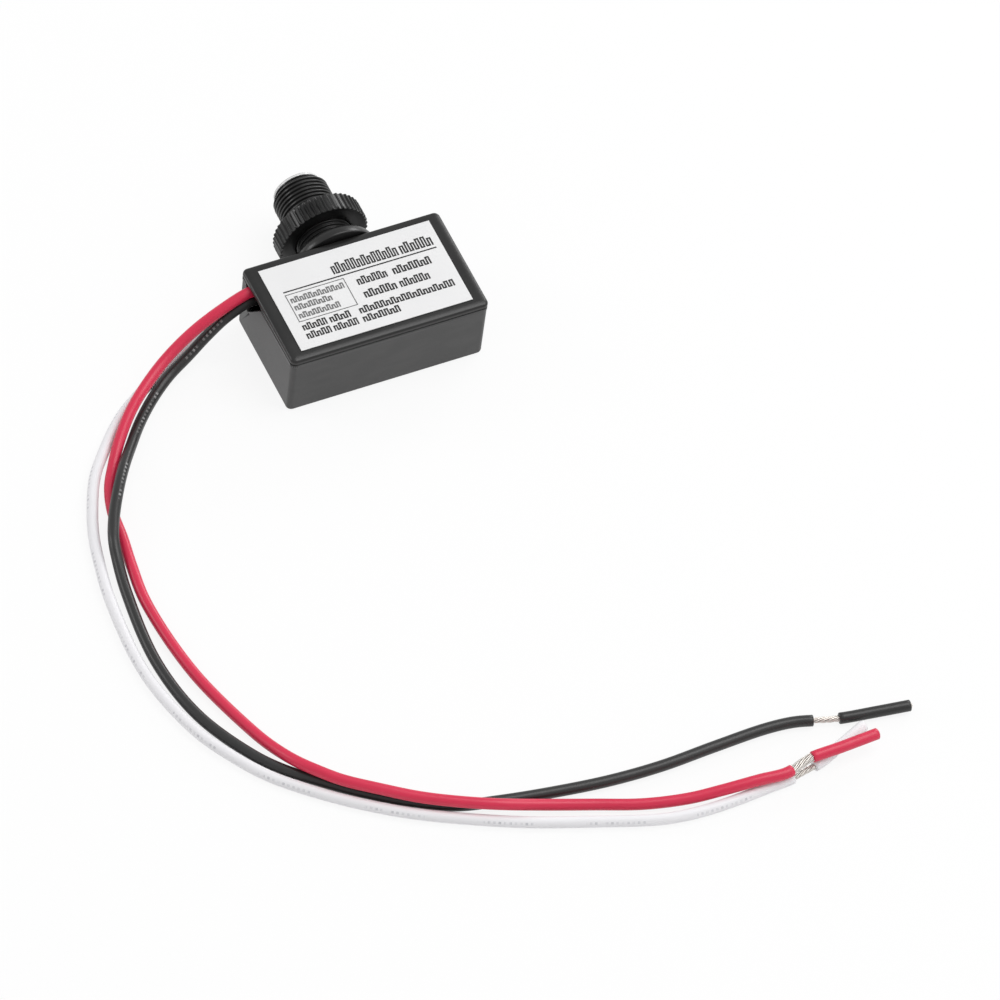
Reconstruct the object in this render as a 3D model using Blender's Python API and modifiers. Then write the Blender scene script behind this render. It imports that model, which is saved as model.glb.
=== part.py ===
"""Button photocell switch with a threaded neck, a lock nut and three loose leads.

The case lies label up.  X runs along the case's long side, Y points out along the neck and Z is
the label's normal.  The origin is below the middle of the case and neck, level with the lowest
point of the lock nut.  The nut is larger than the case is high, so the switch rests on the nut's
rim and on the lower front edge of the case, and the leads lie on that slightly tilted plane.
"""

import math

import bmesh
import bpy
import numpy as np
from mathutils import Matrix

MM = 0.001

# Clearances
SEAT_GAP = 0.3 * MM
LABEL_GAP = 0.1 * MM

# Case
CASE_LENGTH = 52.0 * MM
CASE_DEPTH = 30.9 * MM
CASE_WALL = 1.6 * MM
CASE_FLOOR = 1.6 * MM
CASE_CORNER = 1.5 * MM
CASE_EDGE = 0.8 * MM
CASE_DRAFT = 0.08 * MM
RIM_PROUD = 0.1 * MM
RIM_HEIGHT = 0.9 * MM

# Cover
COVER_THICKNESS = 1.5 * MM
COVER_EDGE = 0.65 * MM
COVER_RIB_HEIGHT = 0.7 * MM
COVER_RIB_WIDTH = 0.8 * MM
COVER_RIB_LENGTH = 30.0 * MM

# Label
LABEL_THICKNESS = 0.12 * MM
LABEL_TO_BACK_EDGE = 2.4 * MM
LABEL_TO_FRONT_EDGE = 2.5 * MM
LABEL_TO_LEFT_EDGE = 3.4 * MM
LABEL_TO_RIGHT_EDGE = 3.45 * MM

# Neck, thread and window
NECK_RISE = 10.1 * MM
NECK_LENGTH = 23.3 * MM
NECK_ROOT_RADIUS = 6.6 * MM
NECK_TO_RIM = 0.7 * MM
NECK_WALL = 1.6 * MM
NECK_CHAMFER = 0.5 * MM
THREAD_DEPTH = 0.6 * MM
LENS_PROUD = 1.7 * MM
LENS_SPIGOT = 1.8 * MM
LENS_CROWN = 0.35 * MM

# Gasket
GASKET_WIDTH = 3.6 * MM
GASKET_HEIGHT = 3.9 * MM
GASKET_RIM = 0.7 * MM
GASKET_LIP = 0.5 * MM

# Lock nut
NUT_WIDTH = 4.4 * MM
NUT_THICKNESS = 5.0 * MM
NUT_STANDOFF = 7.6 * MM
NUT_CHAMFER = 0.25 * MM
NUT_RIBS = 48
NUT_RIB_HEIGHT = 0.45 * MM
NUT_RIB_SHOULDER = 0.85
NUT_SHOULDER_PHASE = 0.13
NUT_FOOT_PHASE = 0.27

# Lead exit in the left wall: gaps to the leads, and how far its mouth widens at the seam
EXIT_GAP = 0.3 * MM
EXIT_FLOOR_GAP = 0.2 * MM
EXIT_CORNER_GAP = 1.6 * MM
EXIT_CORNER_CUT = 1.5 * MM
EXIT_MOUTH_REACH = 7.2 * MM
EXIT_STEP_RISE = 0.7 * MM
EXIT_MARK_RADIUS = 0.3 * MM
EXIT_MARK_DEPTH = 0.25 * MM

# Inner board
BOARD_END_GAP = 2.6 * MM
BOARD_SIDE_GAP = 1.4 * MM
BOARD_THICKNESS = 1.6 * MM
PEG_RADIUS = 1.4 * MM
PEG_HEIGHT = 3.2 * MM
PEG_INSET = 2.2 * MM

# Terminals
STRIP_GAUGE = 0.6 * MM
STRIP_WIDTH = 5.0 * MM
TERMINAL_FOOT = 6.0 * MM
LINE_POST_TO_END = 8.0 * MM
LOAD_POST_TO_END = 9.6 * MM
NEUTRAL_POST_TO_END = 4.8 * MM
NEUTRAL_WIDTH = 3.6 * MM
NEUTRAL_PAST_LEAD = 1.0 * MM
RIVET_TO_POST = 4.5 * MM
SHELF_LENGTH = 8.0 * MM
LINE_SHELF_RISE = 5.2 * MM
FLAG_HEIGHT = 2.6 * MM

# Blade and contacts
BLADE_WIDTH = 4.6 * MM
BLADE_GAUGE = 0.4 * MM
BLADE_PIVOT_TO_POST = 4.0 * MM
BLADE_TAIL = 2.4 * MM
BLADE_TIP = 2.2 * MM
BLADE_CORNER = 1.0 * MM
CONTACT_TO_POST = 4.4 * MM
CONTACT_RADIUS = 1.5 * MM
CONTACT_THICKNESS = 0.6 * MM
STEM_RADIUS = 0.6 * MM
SCREW_OFFSET = 3.2 * MM
SCREW_HEAD_RADIUS = 1.1 * MM
SCREW_HEAD = 0.8 * MM
SCREW_SLOT = 0.4 * MM
SCREW_TIP = 1.6 * MM
RIVET_HEAD_RADIUS = 1.2 * MM
RIVET_HEAD = 0.5 * MM

# Heater and cell
HEATER_LENGTH = 9.0 * MM
HEATER_RADIUS = 1.5 * MM
HEATER_RISE = 3.2 * MM
HEATER_LEAD_REACH = 1.2 * MM
HEATER_CAP = 0.8 * MM
WIRE_RADIUS = 0.3 * MM
HOLDER_WALL = 0.4 * MM
CELL_THICKNESS = 1.8 * MM
CELL_PITCH = 2.6 * MM
HOLDER_FLOOR = 0.8 * MM
CELL_LEAD_REACH = 4.0 * MM

# Leads
LEAD_RADIUS = 1.4 * MM
STRAND_RADIUS = 0.65 * MM
STRAND_LENGTH = 6.0 * MM
SLUG_LENGTH = 18.0 * MM
LEAD_STEP = 4.7 * MM
EXIT_STRAIGHT = 2.5 * MM
LEAD_GAP = 0.25 * MM
RED_DROP = 3.3 * MM
RED_BACK = 5.05 * MM
BLACK_BACK = 5.45 * MM
WHITE_BACK = 3.75 * MM

# Routes of the leads outside the case, in millimetres
RED_ROUTE = [
    (-33.9, -3.0, 14.7), (-41.5, -4.3, 11.2), (-49.6, -7.4, 8.0), (-57.4, -12.5, 6.1),
    (-63.1, -17.7, 5.7), (-68.7, -24.3, 4.8), (-72.4, -29.6, 3.5), (-75.6, -35.1, 3.3),
    (-77.9, -42.2, 3.6), (-78.9, -50.5, 3.9), (-80.3, -59.2, 4.3), (-81.5, -70.8, 4.7),
    (-79.5, -94.2, 5.6), (-73.6, -115.5, 6.5), (-71.2, -122.5, 7.6), (-68.6, -128.9, 9.4),
    (-65.5, -133.8, 10.5), (-61.4, -138.4, 10.8), (-54.5, -144.0, 11.1), (-46.3, -149.8, 11.1),
    (-38.2, -154.4, 11.2), (-29.8, -158.3, 11.1), (-20.5, -160.8, 9.5), (-8.4, -164.6, 8.5),
    (2.9, -168.9, 8.7), (13.2, -171.7, 9.5), (21.4, -173.1, 10.7), (29.9, -174.2, 11.8),
    (36.8, -174.8, 12.0), (43.1, -173.0, 12.0), (52.4, -172.6, 12.0), (62.2, -171.9, 11.7),
]
BLACK_ROUTE = [
    (-32.0, -3.2, 11.8), (-37.3, -4.3, 8.4), (-42.9, -6.4, 5.6), (-48.9, -8.9, 3.4),
    (-54.8, -13.1, 2.5), (-60.7, -18.9, 2.7), (-65.8, -25.3, 3.9), (-71.4, -33.0, 6.0),
    (-75.5, -39.3, 6.7), (-79.6, -46.5, 6.6), (-82.0, -52.1, 6.5), (-83.2, -57.5, 5.3),
    (-84.7, -66.7, 4.6), (-86.4, -88.3, 5.4), (-83.6, -106.7, 6.2), (-76.4, -122.0, 6.7),
    (-71.5, -128.6, 7.0), (-66.0, -133.9, 7.3), (-57.6, -141.2, 7.6), (-47.9, -148.1, 7.8),
    (-38.6, -153.0, 8.0), (-28.3, -155.6, 8.2), (-14.3, -158.0, 8.2), (-1.6, -159.6, 8.3),
    (11.6, -160.1, 8.3), (25.4, -159.4, 8.2), (39.2, -159.0, 8.2), (46.1, -159.7, 8.3),
    (51.3, -161.2, 8.4), (56.8, -162.6, 8.3), (65.6, -164.0, 8.4), (74.4, -165.3, 8.5),
]
WHITE_ROUTE = [
    (-30.9, -0.5, 8.6), (-36.3, -1.4, 5.4), (-42.8, -3.2, 3.2), (-50.1, -6.5, 2.2),
    (-57.5, -10.9, 2.4), (-63.4, -15.0, 2.5), (-68.3, -19.6, 2.8), (-72.5, -24.3, 2.9),
    (-77.4, -30.5, 3.1), (-81.4, -38.2, 3.5), (-84.8, -46.8, 3.7), (-87.1, -55.8, 4.1),
    (-89.1, -67.1, 4.5), (-90.2, -90.6, 5.5), (-86.1, -110.0, 6.3), (-81.6, -119.6, 6.7),
    (-75.5, -128.9, 7.0), (-66.3, -138.2, 7.4), (-57.8, -145.2, 7.7), (-47.5, -152.2, 8.0),
    (-27.1, -162.7, 8.4), (-10.6, -169.1, 8.6), (4.9, -174.5, 8.9), (13.2, -175.7, 8.9),
    (22.2, -175.8, 8.9), (31.5, -175.2, 8.9), (38.9, -174.7, 8.9), (42.0, -174.0, 8.9),
    (47.0, -172.8, 8.8), (54.0, -169.7, 8.6), (61.5, -166.5, 8.6),
]

ROUND_STEPS = 40
SMALL_STEPS = 16
ROUTE_SAMPLES = 24
PIVOT_MARK_SIZE = 5.0 * MM

# How far a quarter bend's middle lies in from each of its ends, as a share of its radius
BEND_MIDDLE = 1 - math.sqrt(0.5)

# Places that follow from the sizes above
TOTAL_DEPTH = CASE_DEPTH + NECK_LENGTH + LENS_PROUD
FRONT_Y = -TOTAL_DEPTH / 2
BACK_Y = FRONT_Y + CASE_DEPTH
CASE_Y = FRONT_Y + CASE_DEPTH / 2
NECK_END_Y = BACK_Y + NECK_LENGTH
LEFT_X = -CASE_LENGTH / 2
RIGHT_X = CASE_LENGTH / 2
THREAD_RADIUS = NECK_ROOT_RADIUS + THREAD_DEPTH
GASKET_BORE_RADIUS = THREAD_RADIUS + LABEL_GAP
GASKET_RADIUS = GASKET_BORE_RADIUS + GASKET_WIDTH
NUT_RADIUS = THREAD_RADIUS + NUT_WIDTH
AXIS_Z = NUT_RADIUS
BORE_RADIUS = NECK_ROOT_RADIUS - NECK_WALL
LENS_RADIUS = NECK_ROOT_RADIUS - NECK_CHAMFER
CASE_Z = AXIS_Z - NECK_RISE
CUP_TOP_Z = AXIS_Z + NECK_ROOT_RADIUS + NECK_TO_RIM
COVER_Z = CUP_TOP_Z + SEAT_GAP
TOP_Z = COVER_Z + COVER_THICKNESS
FLOOR_Z = CASE_Z + CASE_FLOOR
BOARD_Z = FLOOR_Z + PEG_HEIGHT + SEAT_GAP
BOARD_TOP_Z = BOARD_Z + BOARD_THICKNESS
FOOT_Z = BOARD_TOP_Z + SEAT_GAP
LINE_POST_X = LEFT_X + LINE_POST_TO_END
LOAD_POST_X = RIGHT_X - LOAD_POST_TO_END
NEUTRAL_POST_X = LEFT_X + NEUTRAL_POST_TO_END
NEUTRAL_Y = BACK_Y - WHITE_BACK - NEUTRAL_PAST_LEAD
BLADE_PIVOT_X = LINE_POST_X + BLADE_PIVOT_TO_POST
CONTACT_X = LOAD_POST_X - CONTACT_TO_POST
HEATER_X = (BLADE_PIVOT_X + CONTACT_X) / 2
CELL_RADIUS = BORE_RADIUS - HOLDER_WALL - 2 * SEAT_GAP
NUT_Y = BACK_Y + NUT_STANDOFF
BLACK_DROP = RED_DROP + 2 * LEAD_RADIUS + LEAD_GAP
WHITE_DROP = BLACK_DROP + math.sqrt((2 * LEAD_RADIUS + LEAD_GAP) ** 2 - (BLACK_BACK - WHITE_BACK) ** 2)
EXIT_BACK = WHITE_BACK - LEAD_RADIUS - EXIT_GAP
EXIT_TOP_BACK = RED_BACK - LEAD_RADIUS - EXIT_GAP
EXIT_STEP_DROP = WHITE_DROP - LEAD_RADIUS - EXIT_GAP
EXIT_CORNER = WHITE_BACK + LEAD_RADIUS + EXIT_CORNER_GAP
EXIT_FRONT = EXIT_CORNER - EXIT_CORNER_CUT
EXIT_MOUTH = EXIT_CORNER + EXIT_MOUTH_REACH
EXIT_DROP = WHITE_DROP + LEAD_RADIUS + EXIT_FLOOR_GAP
LINE_SHELF_Z = FOOT_Z + LINE_SHELF_RISE
BLADE_Z = LINE_SHELF_Z + STRIP_GAUGE + SEAT_GAP
CONTACT_Z = BLADE_Z - SEAT_GAP - CONTACT_THICKNESS
LOAD_SHELF_Z = CONTACT_Z - 2 * SEAT_GAP - CONTACT_THICKNESS - STRIP_GAUGE
INNER_BACK_Y = BACK_Y - RIM_PROUD - CASE_WALL
BOARD_LENGTH = CASE_LENGTH - 2 * (RIM_PROUD + CASE_WALL + BOARD_END_GAP)
BOARD_DEPTH = CASE_DEPTH - 2 * (RIM_PROUD + CASE_WALL + BOARD_SIDE_GAP)
HOLE_RADIUS = STEM_RADIUS + SEAT_GAP

# Material colours: linear red, green, blue, then roughness and metallic
FINISHES = {
    "black_plastic": ((0.020, 0.020, 0.022), 0.45, 0.0),
    "black_rubber": ((0.012, 0.012, 0.012), 0.35, 0.0),
    "label_paper": ((0.80, 0.80, 0.81), 0.60, 0.0),
    "clear_window": ((0.85, 0.86, 0.86), 0.15, 0.0),
    "red_insulation": ((0.55, 0.03, 0.06), 0.40, 0.0),
    "black_insulation": ((0.020, 0.020, 0.022), 0.40, 0.0),
    "white_insulation": ((0.78, 0.77, 0.80), 0.45, 0.0),
    "tinned_copper": ((0.62, 0.58, 0.54), 0.35, 1.0),
    "brass": ((0.66, 0.47, 0.17), 0.30, 1.0),
    "bimetal": ((0.55, 0.53, 0.50), 0.35, 1.0),
    "silver": ((0.80, 0.80, 0.78), 0.25, 1.0),
    "steel": ((0.50, 0.50, 0.50), 0.35, 1.0),
    "phenolic_board": ((0.22, 0.10, 0.04), 0.60, 0.0),
    "ceramic": ((0.62, 0.60, 0.54), 0.50, 0.0),
}


def clear_scene():
    for thing in list(bpy.data.objects):
        bpy.data.objects.remove(thing, do_unlink=True)


def new_collection(name):
    group = bpy.data.collections.new(name)
    bpy.context.scene.collection.children.link(group)
    return group


clear_scene()
PARTS = new_collection("photocell_switch")
CUTTERS = new_collection("cutters")


def finish(name):
    """Return the named material, made once."""
    existing = bpy.data.materials.get(name)
    if existing:
        return existing
    colour, roughness, metallic = FINISHES[name]
    material = bpy.data.materials.new(name)
    material.use_nodes = True
    shader = material.node_tree.nodes["Principled BSDF"]
    shader.inputs["Base Color"].default_value = (*colour, 1.0)
    shader.inputs["Roughness"].default_value = roughness
    shader.inputs["Metallic"].default_value = metallic
    material.diffuse_color = (*colour, 1.0)
    return material


def mesh_object(name, bm, finish_name, smooth_angle=35):
    """Turn a bmesh into an object in the parts collection."""
    bmesh.ops.recalc_face_normals(bm, faces=bm.faces)
    mesh = bpy.data.meshes.new(name)
    bm.to_mesh(mesh)
    bm.free()
    mesh.shade_smooth()
    mesh.set_sharp_from_angle(angle=math.radians(smooth_angle))
    mesh.materials.append(finish(finish_name))
    thing = bpy.data.objects.new(name, mesh)
    PARTS.objects.link(thing)
    return thing


def as_cutter(thing):
    """Move an object to the cutters, where it shapes others and is no part itself."""
    PARTS.objects.unlink(thing)
    CUTTERS.objects.link(thing)
    thing.hide_render = True
    thing.display_type = "WIRE"
    return thing


def boolean(thing, tool, operation):
    step = thing.modifiers.new(tool.name, "BOOLEAN")
    step.operation = operation
    step.solver = "EXACT"
    step.object = tool
    return thing


def cut(thing, *tools):
    for tool in tools:
        boolean(thing, as_cutter(tool), "DIFFERENCE")
    return thing


def join(thing, *tools):
    for tool in tools:
        boolean(thing, as_cutter(tool), "UNION")
    return thing


def block(name, low, high, finish_name, corner=0.0, corner_steps=4):
    """A box between two corners, with its upright edges rounded where a corner radius is given."""
    bm = bmesh.new()
    bmesh.ops.create_cube(bm, size=1.0)
    for vert in bm.verts:
        for axis in range(3):
            middle = (low[axis] + high[axis]) / 2
            vert.co[axis] = middle + vert.co[axis] * (high[axis] - low[axis])
    if corner:
        upright = [edge for edge in bm.edges if is_upright(edge)]
        bmesh.ops.bevel(bm, geom=upright, offset=corner, segments=corner_steps, profile=0.5, affect="EDGES")
    return mesh_object(name, bm, finish_name)


def is_upright(edge):
    first, second = edge.verts
    run = max(abs(first.co.x - second.co.x), abs(first.co.y - second.co.y))
    return abs(first.co.z - second.co.z) > 4 * run


def moulded_block(name, length, depth, height, draft, corner, edge_radius, finish_name, round_top=False):
    """A moulded box on the XY plane: narrower by the draft at its foot, with rounded edges.

    The rounded horizontal edges are those of the foot, or of the top where round_top is set.
    """
    bm = bmesh.new()
    bmesh.ops.create_cube(bm, size=1.0)
    for vert in bm.verts:
        at_foot = vert.co.z < 0
        inset = draft if at_foot else 0.0
        vert.co.x = math.copysign(length / 2 - inset, vert.co.x)
        vert.co.y = math.copysign(depth / 2 - inset, vert.co.y)
        vert.co.z = 0.0 if at_foot else height
    upright = [edge for edge in bm.edges if is_upright(edge)]
    bmesh.ops.bevel(bm, geom=upright, offset=corner, segments=5, profile=0.5, affect="EDGES")
    if edge_radius:
        level = height if round_top else 0.0
        outline = [e for e in bm.edges if all(abs(v.co.z - level) < 1e-7 for v in e.verts)]
        bmesh.ops.bevel(bm, geom=outline, offset=edge_radius, segments=3, profile=0.5, affect="EDGES")
    return mesh_object(name, bm, finish_name)


def cylinder_along_y(name, radius, start, end, centre_x, centre_z, finish_name, steps=ROUND_STEPS):
    """A round bar parallel to Y."""
    bm = bmesh.new()
    bmesh.ops.create_cone(
        bm, cap_ends=True, segments=steps, radius1=radius, radius2=radius, depth=end - start
    )
    thing = mesh_object(name, bm, finish_name)
    thing.rotation_euler = (math.radians(-90), 0, 0)
    thing.location = (centre_x, (start + end) / 2, centre_z)
    return thing


def cylinder_upright(name, radius, start, end, centre_x, centre_y, finish_name, steps=SMALL_STEPS):
    """A round bar parallel to Z."""
    bm = bmesh.new()
    bmesh.ops.create_cone(
        bm, cap_ends=True, segments=steps, radius1=radius, radius2=radius, depth=end - start
    )
    thing = mesh_object(name, bm, finish_name)
    thing.location = (centre_x, centre_y, (start + end) / 2)
    return thing


def turned(name, profile, finish_name, steps=ROUND_STEPS):
    """Turn an outline of (radius, height) points about local Z with a Screw modifier.

    The outline goes down its outer side, so that the faces point out.  An outline that starts and
    ends on the axis is left open, any other is closed to a ring.
    """
    ring = profile[0][0] > 0
    mesh = bpy.data.meshes.new(name)
    points = [(radius, 0.0, height) for radius, height in profile]
    edges = [(i, i + 1) for i in range(len(points) - 1)]
    if ring:
        edges.append((len(points) - 1, 0))
    mesh.from_pydata(points, edges, [])
    mesh.materials.append(finish(finish_name))
    thing = bpy.data.objects.new(name, mesh)
    PARTS.objects.link(thing)
    screw = thing.modifiers.new("turn", "SCREW")
    screw.axis = "Z"
    screw.angle = math.tau
    screw.steps = steps
    screw.render_steps = steps
    screw.use_merge_vertices = True
    screw.merge_threshold = 1e-6
    screw.use_smooth_shade = True
    return thing


def face_along_neck(thing, y):
    """Point a turned object's axis along the neck, with its local zero at y."""
    thing.rotation_euler = (math.radians(-90), 0, 0)
    thing.location = (0.0, y, AXIS_Z)
    return thing


def folded_strip(name, path, width, gauge, y, finish_name):
    """Sheet metal whose middle plane is bent along a path of (x, z) points, centred on y."""
    bm = bmesh.new()
    rows = []
    for x, z in path:
        rows.append([bm.verts.new((x, y - width / 2, z)), bm.verts.new((x, y + width / 2, z))])
    for first, second in zip(rows, rows[1:]):
        bm.faces.new((first[0], second[0], second[1], first[1]))
    mesh = bpy.data.meshes.new(name)
    bm.to_mesh(mesh)
    bm.free()
    mesh.materials.append(finish(finish_name))
    thing = bpy.data.objects.new(name, mesh)
    PARTS.objects.link(thing)
    sheet = thing.modifiers.new("gauge", "SOLIDIFY")
    sheet.thickness = gauge
    sheet.offset = 0.0
    sheet.use_even_offset = True
    return thing


def headed_pin(name, low, high, shank, upper, lower, x, y, finish_name):
    """A pin with its shank between two heights and a head, given by radius and height, past each."""
    upper_radius, upper_height = upper
    lower_radius, lower_height = lower
    outline = [
        (0.0, high + upper_height),
        (upper_radius * 0.7, high + upper_height),
        (upper_radius, high + upper_height * 0.5),
        (upper_radius, high),
        (shank, high),
        (shank, low),
    ]
    if lower_height:
        outline.append((lower_radius, low))
        outline.append((lower_radius, low - lower_height * 0.6))
        outline.append((lower_radius * 0.8, low - lower_height))
        outline.append((0.0, low - lower_height))
    else:
        outline.append((0.0, low))
    thing = turned(name, outline, finish_name, SMALL_STEPS)
    thing.location = (x, y, 0.0)
    return thing


def smooth_route(points, step):
    """Read points from a smooth curve through the route's own points, about one step apart.

    Each stretch is a Catmull-Rom cubic with centripetal spacing.
    """
    route = np.array(points, dtype=float)
    before = 2 * route[0] - route[1]
    after = 2 * route[-1] - route[-2]
    knots = np.vstack([before, route, after])
    dense = []
    for i in range(1, len(knots) - 2):
        a, b, c, d = knots[i - 1 : i + 3]
        t0 = 0.0
        t1 = t0 + math.sqrt(np.linalg.norm(b - a))
        t2 = t1 + math.sqrt(np.linalg.norm(c - b))
        t3 = t2 + math.sqrt(np.linalg.norm(d - c))
        for t in np.linspace(t1, t2, ROUTE_SAMPLES, endpoint=False):
            a1 = (t1 - t) / (t1 - t0) * a + (t - t0) / (t1 - t0) * b
            a2 = (t2 - t) / (t2 - t1) * b + (t - t1) / (t2 - t1) * c
            a3 = (t3 - t) / (t3 - t2) * c + (t - t2) / (t3 - t2) * d
            b1 = (t2 - t) / (t2 - t0) * a1 + (t - t0) / (t2 - t0) * a2
            b2 = (t3 - t) / (t3 - t1) * a2 + (t - t1) / (t3 - t1) * a3
            dense.append((t2 - t) / (t2 - t1) * b1 + (t - t1) / (t2 - t1) * b2)
    dense.append(route[-1])
    dense = np.array(dense)
    along = np.concatenate([[0.0], np.cumsum(np.linalg.norm(np.diff(dense, axis=0), axis=1))])
    count = max(2, int(round(along[-1] / step)) + 1)
    marks = np.linspace(0.0, along[-1], count)
    return np.stack([np.interp(marks, along, dense[:, axis]) for axis in range(3)], axis=1)


def wire(name, points, radius, finish_name, resolution=2):
    """A round wire along the given points."""
    curve = bpy.data.curves.new(name, "CURVE")
    curve.dimensions = "3D"
    curve.bevel_depth = radius
    curve.bevel_resolution = resolution
    curve.use_fill_caps = True
    spline = curve.splines.new("POLY")
    spline.points.add(len(points) - 1)
    for spot, point in zip(spline.points, points):
        spot.co = (*point, 1.0)
    spline.use_smooth = True
    curve.materials.append(finish(finish_name))
    thing = bpy.data.objects.new(name, curve)
    PARTS.objects.link(thing)
    return thing


def make_housing():
    """Open cup with a rim, four board pegs, the hollow neck and the lead exit."""
    body_length = CASE_LENGTH - 2 * RIM_PROUD
    body_depth = CASE_DEPTH - 2 * RIM_PROUD
    cup_height = CUP_TOP_Z - CASE_Z
    cup = moulded_block(
        "housing", body_length, body_depth, cup_height, CASE_DRAFT, CASE_CORNER - RIM_PROUD, CASE_EDGE,
        "black_plastic",
    )
    cup.location = (0.0, CASE_Y, CASE_Z)
    rim = moulded_block(
        "rim", CASE_LENGTH, CASE_DEPTH, RIM_HEIGHT, 0.0, CASE_CORNER, 0.0, "black_plastic"
    )
    rim.location = (0.0, CASE_Y, CUP_TOP_Z - RIM_HEIGHT)
    neck_foot = INNER_BACK_Y + CASE_WALL / 2
    neck_outline = [
        (0.0, NECK_END_Y - neck_foot),
        (NECK_ROOT_RADIUS - NECK_CHAMFER, NECK_END_Y - neck_foot),
        (NECK_ROOT_RADIUS, NECK_END_Y - neck_foot - NECK_CHAMFER),
        (NECK_ROOT_RADIUS, 0.0),
        (0.0, 0.0),
    ]
    neck = face_along_neck(turned("neck", neck_outline, "black_plastic"), neck_foot)
    join(cup, rim, neck)
    hollow = moulded_block(
        "hollow", body_length - 2 * CASE_WALL, body_depth - 2 * CASE_WALL, cup_height + RIM_HEIGHT,
        CASE_DRAFT, CASE_CORNER / 2, 0.0, "black_plastic",
    )
    hollow.location = (0.0, CASE_Y, FLOOR_Z)
    bore = cylinder_along_y(
        "bore", BORE_RADIUS, INNER_BACK_Y - CASE_WALL, NECK_END_Y + CASE_WALL, 0.0, AXIS_Z, "black_plastic"
    )
    cut(cup, hollow, bore)
    join(cup, *make_pegs())
    cut(cup, make_exit(), make_exit_mark())
    return cup


def make_pegs():
    """Pegs in the floor under the corners of the board."""
    pegs = []
    for side in (-1, 1):
        for end in (-1, 1):
            x = side * (BOARD_LENGTH / 2 - PEG_INSET)
            y = CASE_Y + end * (BOARD_DEPTH / 2 - PEG_INSET)
            foot = CASE_Z + CASE_FLOOR / 2
            peg = cylinder_upright("peg", PEG_RADIUS, foot, FLOOR_Z + PEG_HEIGHT, x, y, "black_plastic")
            pegs.append(peg)
    return pegs


def make_exit():
    """Cutter for the notch that tapers down from the seam in the left wall."""
    outline = [
        (EXIT_TOP_BACK, 0.0),
        (EXIT_MOUTH, 0.0),
        (EXIT_CORNER, WHITE_DROP),
        (EXIT_FRONT, EXIT_DROP),
        (EXIT_BACK, EXIT_DROP),
        (EXIT_BACK, EXIT_STEP_DROP + EXIT_STEP_RISE),
        (EXIT_TOP_BACK, EXIT_STEP_DROP),
    ]
    outer = LEFT_X - CASE_WALL
    inner = LEFT_X + RIM_PROUD + 2 * CASE_WALL
    curve = bpy.data.curves.new("exit_notch", "CURVE")
    curve.dimensions = "2D"
    curve.fill_mode = "BOTH"
    curve.extrude = (inner - outer) / 2
    spline = curve.splines.new("POLY")
    spline.points.add(len(outline) - 1)
    for spot, (from_back, drop) in zip(spline.points, outline):
        spot.co = (BACK_Y - from_back, TOP_Z - drop, 0.0, 1.0)
    spline.use_cyclic_u = True
    source = bpy.data.objects.new("exit_notch_outline", curve)
    PARTS.objects.link(source)
    source.rotation_euler = (math.radians(90), 0.0, math.radians(90))
    source.location = ((inner + outer) / 2, 0.0, 0.0)
    return curve_to_mesh(source, "exit_notch")


def curve_to_mesh(source, name):
    """Replace a curve object by a closed mesh object at the same place."""
    bpy.context.view_layer.update()
    graph = bpy.context.evaluated_depsgraph_get()
    mesh = bpy.data.meshes.new_from_object(source.evaluated_get(graph))
    mesh.name = name
    bm = bmesh.new()
    bm.from_mesh(mesh)
    bmesh.ops.remove_doubles(bm, verts=bm.verts, dist=1e-6)
    bmesh.ops.recalc_face_normals(bm, faces=bm.faces)
    bm.to_mesh(mesh)
    bm.free()
    thing = bpy.data.objects.new(name, mesh)
    PARTS.objects.link(thing)
    thing.matrix_world = source.matrix_world.copy()
    bpy.data.objects.remove(source)
    return thing


def make_exit_mark():
    """Cutter for the small round mark that the mould leaves below the exit."""
    y = BACK_Y - (EXIT_CORNER + EXIT_FRONT) / 2
    z = TOP_Z - EXIT_DROP
    outer = LEFT_X + RIM_PROUD
    bm = bmesh.new()
    bmesh.ops.create_cone(
        bm, cap_ends=True, segments=SMALL_STEPS, radius1=EXIT_MARK_RADIUS, radius2=EXIT_MARK_RADIUS,
        depth=2 * EXIT_MARK_DEPTH + CASE_DRAFT,
    )
    mark = mesh_object("exit_mark", bm, "black_plastic")
    mark.rotation_euler = (0.0, math.radians(90), 0.0)
    mark.location = (outer, y, z)
    return mark


def make_cover():
    """Lid with a rounded edge, and ribs that drop inside the cup's walls."""
    lid = moulded_block(
        "cover", CASE_LENGTH, CASE_DEPTH, COVER_THICKNESS, 0.0, CASE_CORNER, COVER_EDGE, "black_plastic",
        round_top=True,
    )
    lid.location = (0.0, CASE_Y, COVER_Z)
    wall_offset = CASE_DEPTH / 2 - RIM_PROUD - CASE_WALL - SEAT_GAP - COVER_RIB_WIDTH / 2
    low = COVER_Z - COVER_RIB_HEIGHT
    high = COVER_Z + COVER_THICKNESS / 2
    for side in (-1, 1):
        y = CASE_Y + side * wall_offset
        rib = block(
            "cover_rib",
            (-COVER_RIB_LENGTH / 2, y - COVER_RIB_WIDTH / 2, low),
            (COVER_RIB_LENGTH / 2, y + COVER_RIB_WIDTH / 2, high),
            "black_plastic",
        )
        join(lid, rib)
    return lid


def make_label():
    """Paper label on the cover."""
    foot_z = TOP_Z + LABEL_GAP
    low = (LEFT_X + LABEL_TO_LEFT_EDGE, FRONT_Y + LABEL_TO_FRONT_EDGE, foot_z)
    high = (RIGHT_X - LABEL_TO_RIGHT_EDGE, BACK_Y - LABEL_TO_BACK_EDGE, foot_z + LABEL_THICKNESS)
    return block("label", low, high, "label_paper")


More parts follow.
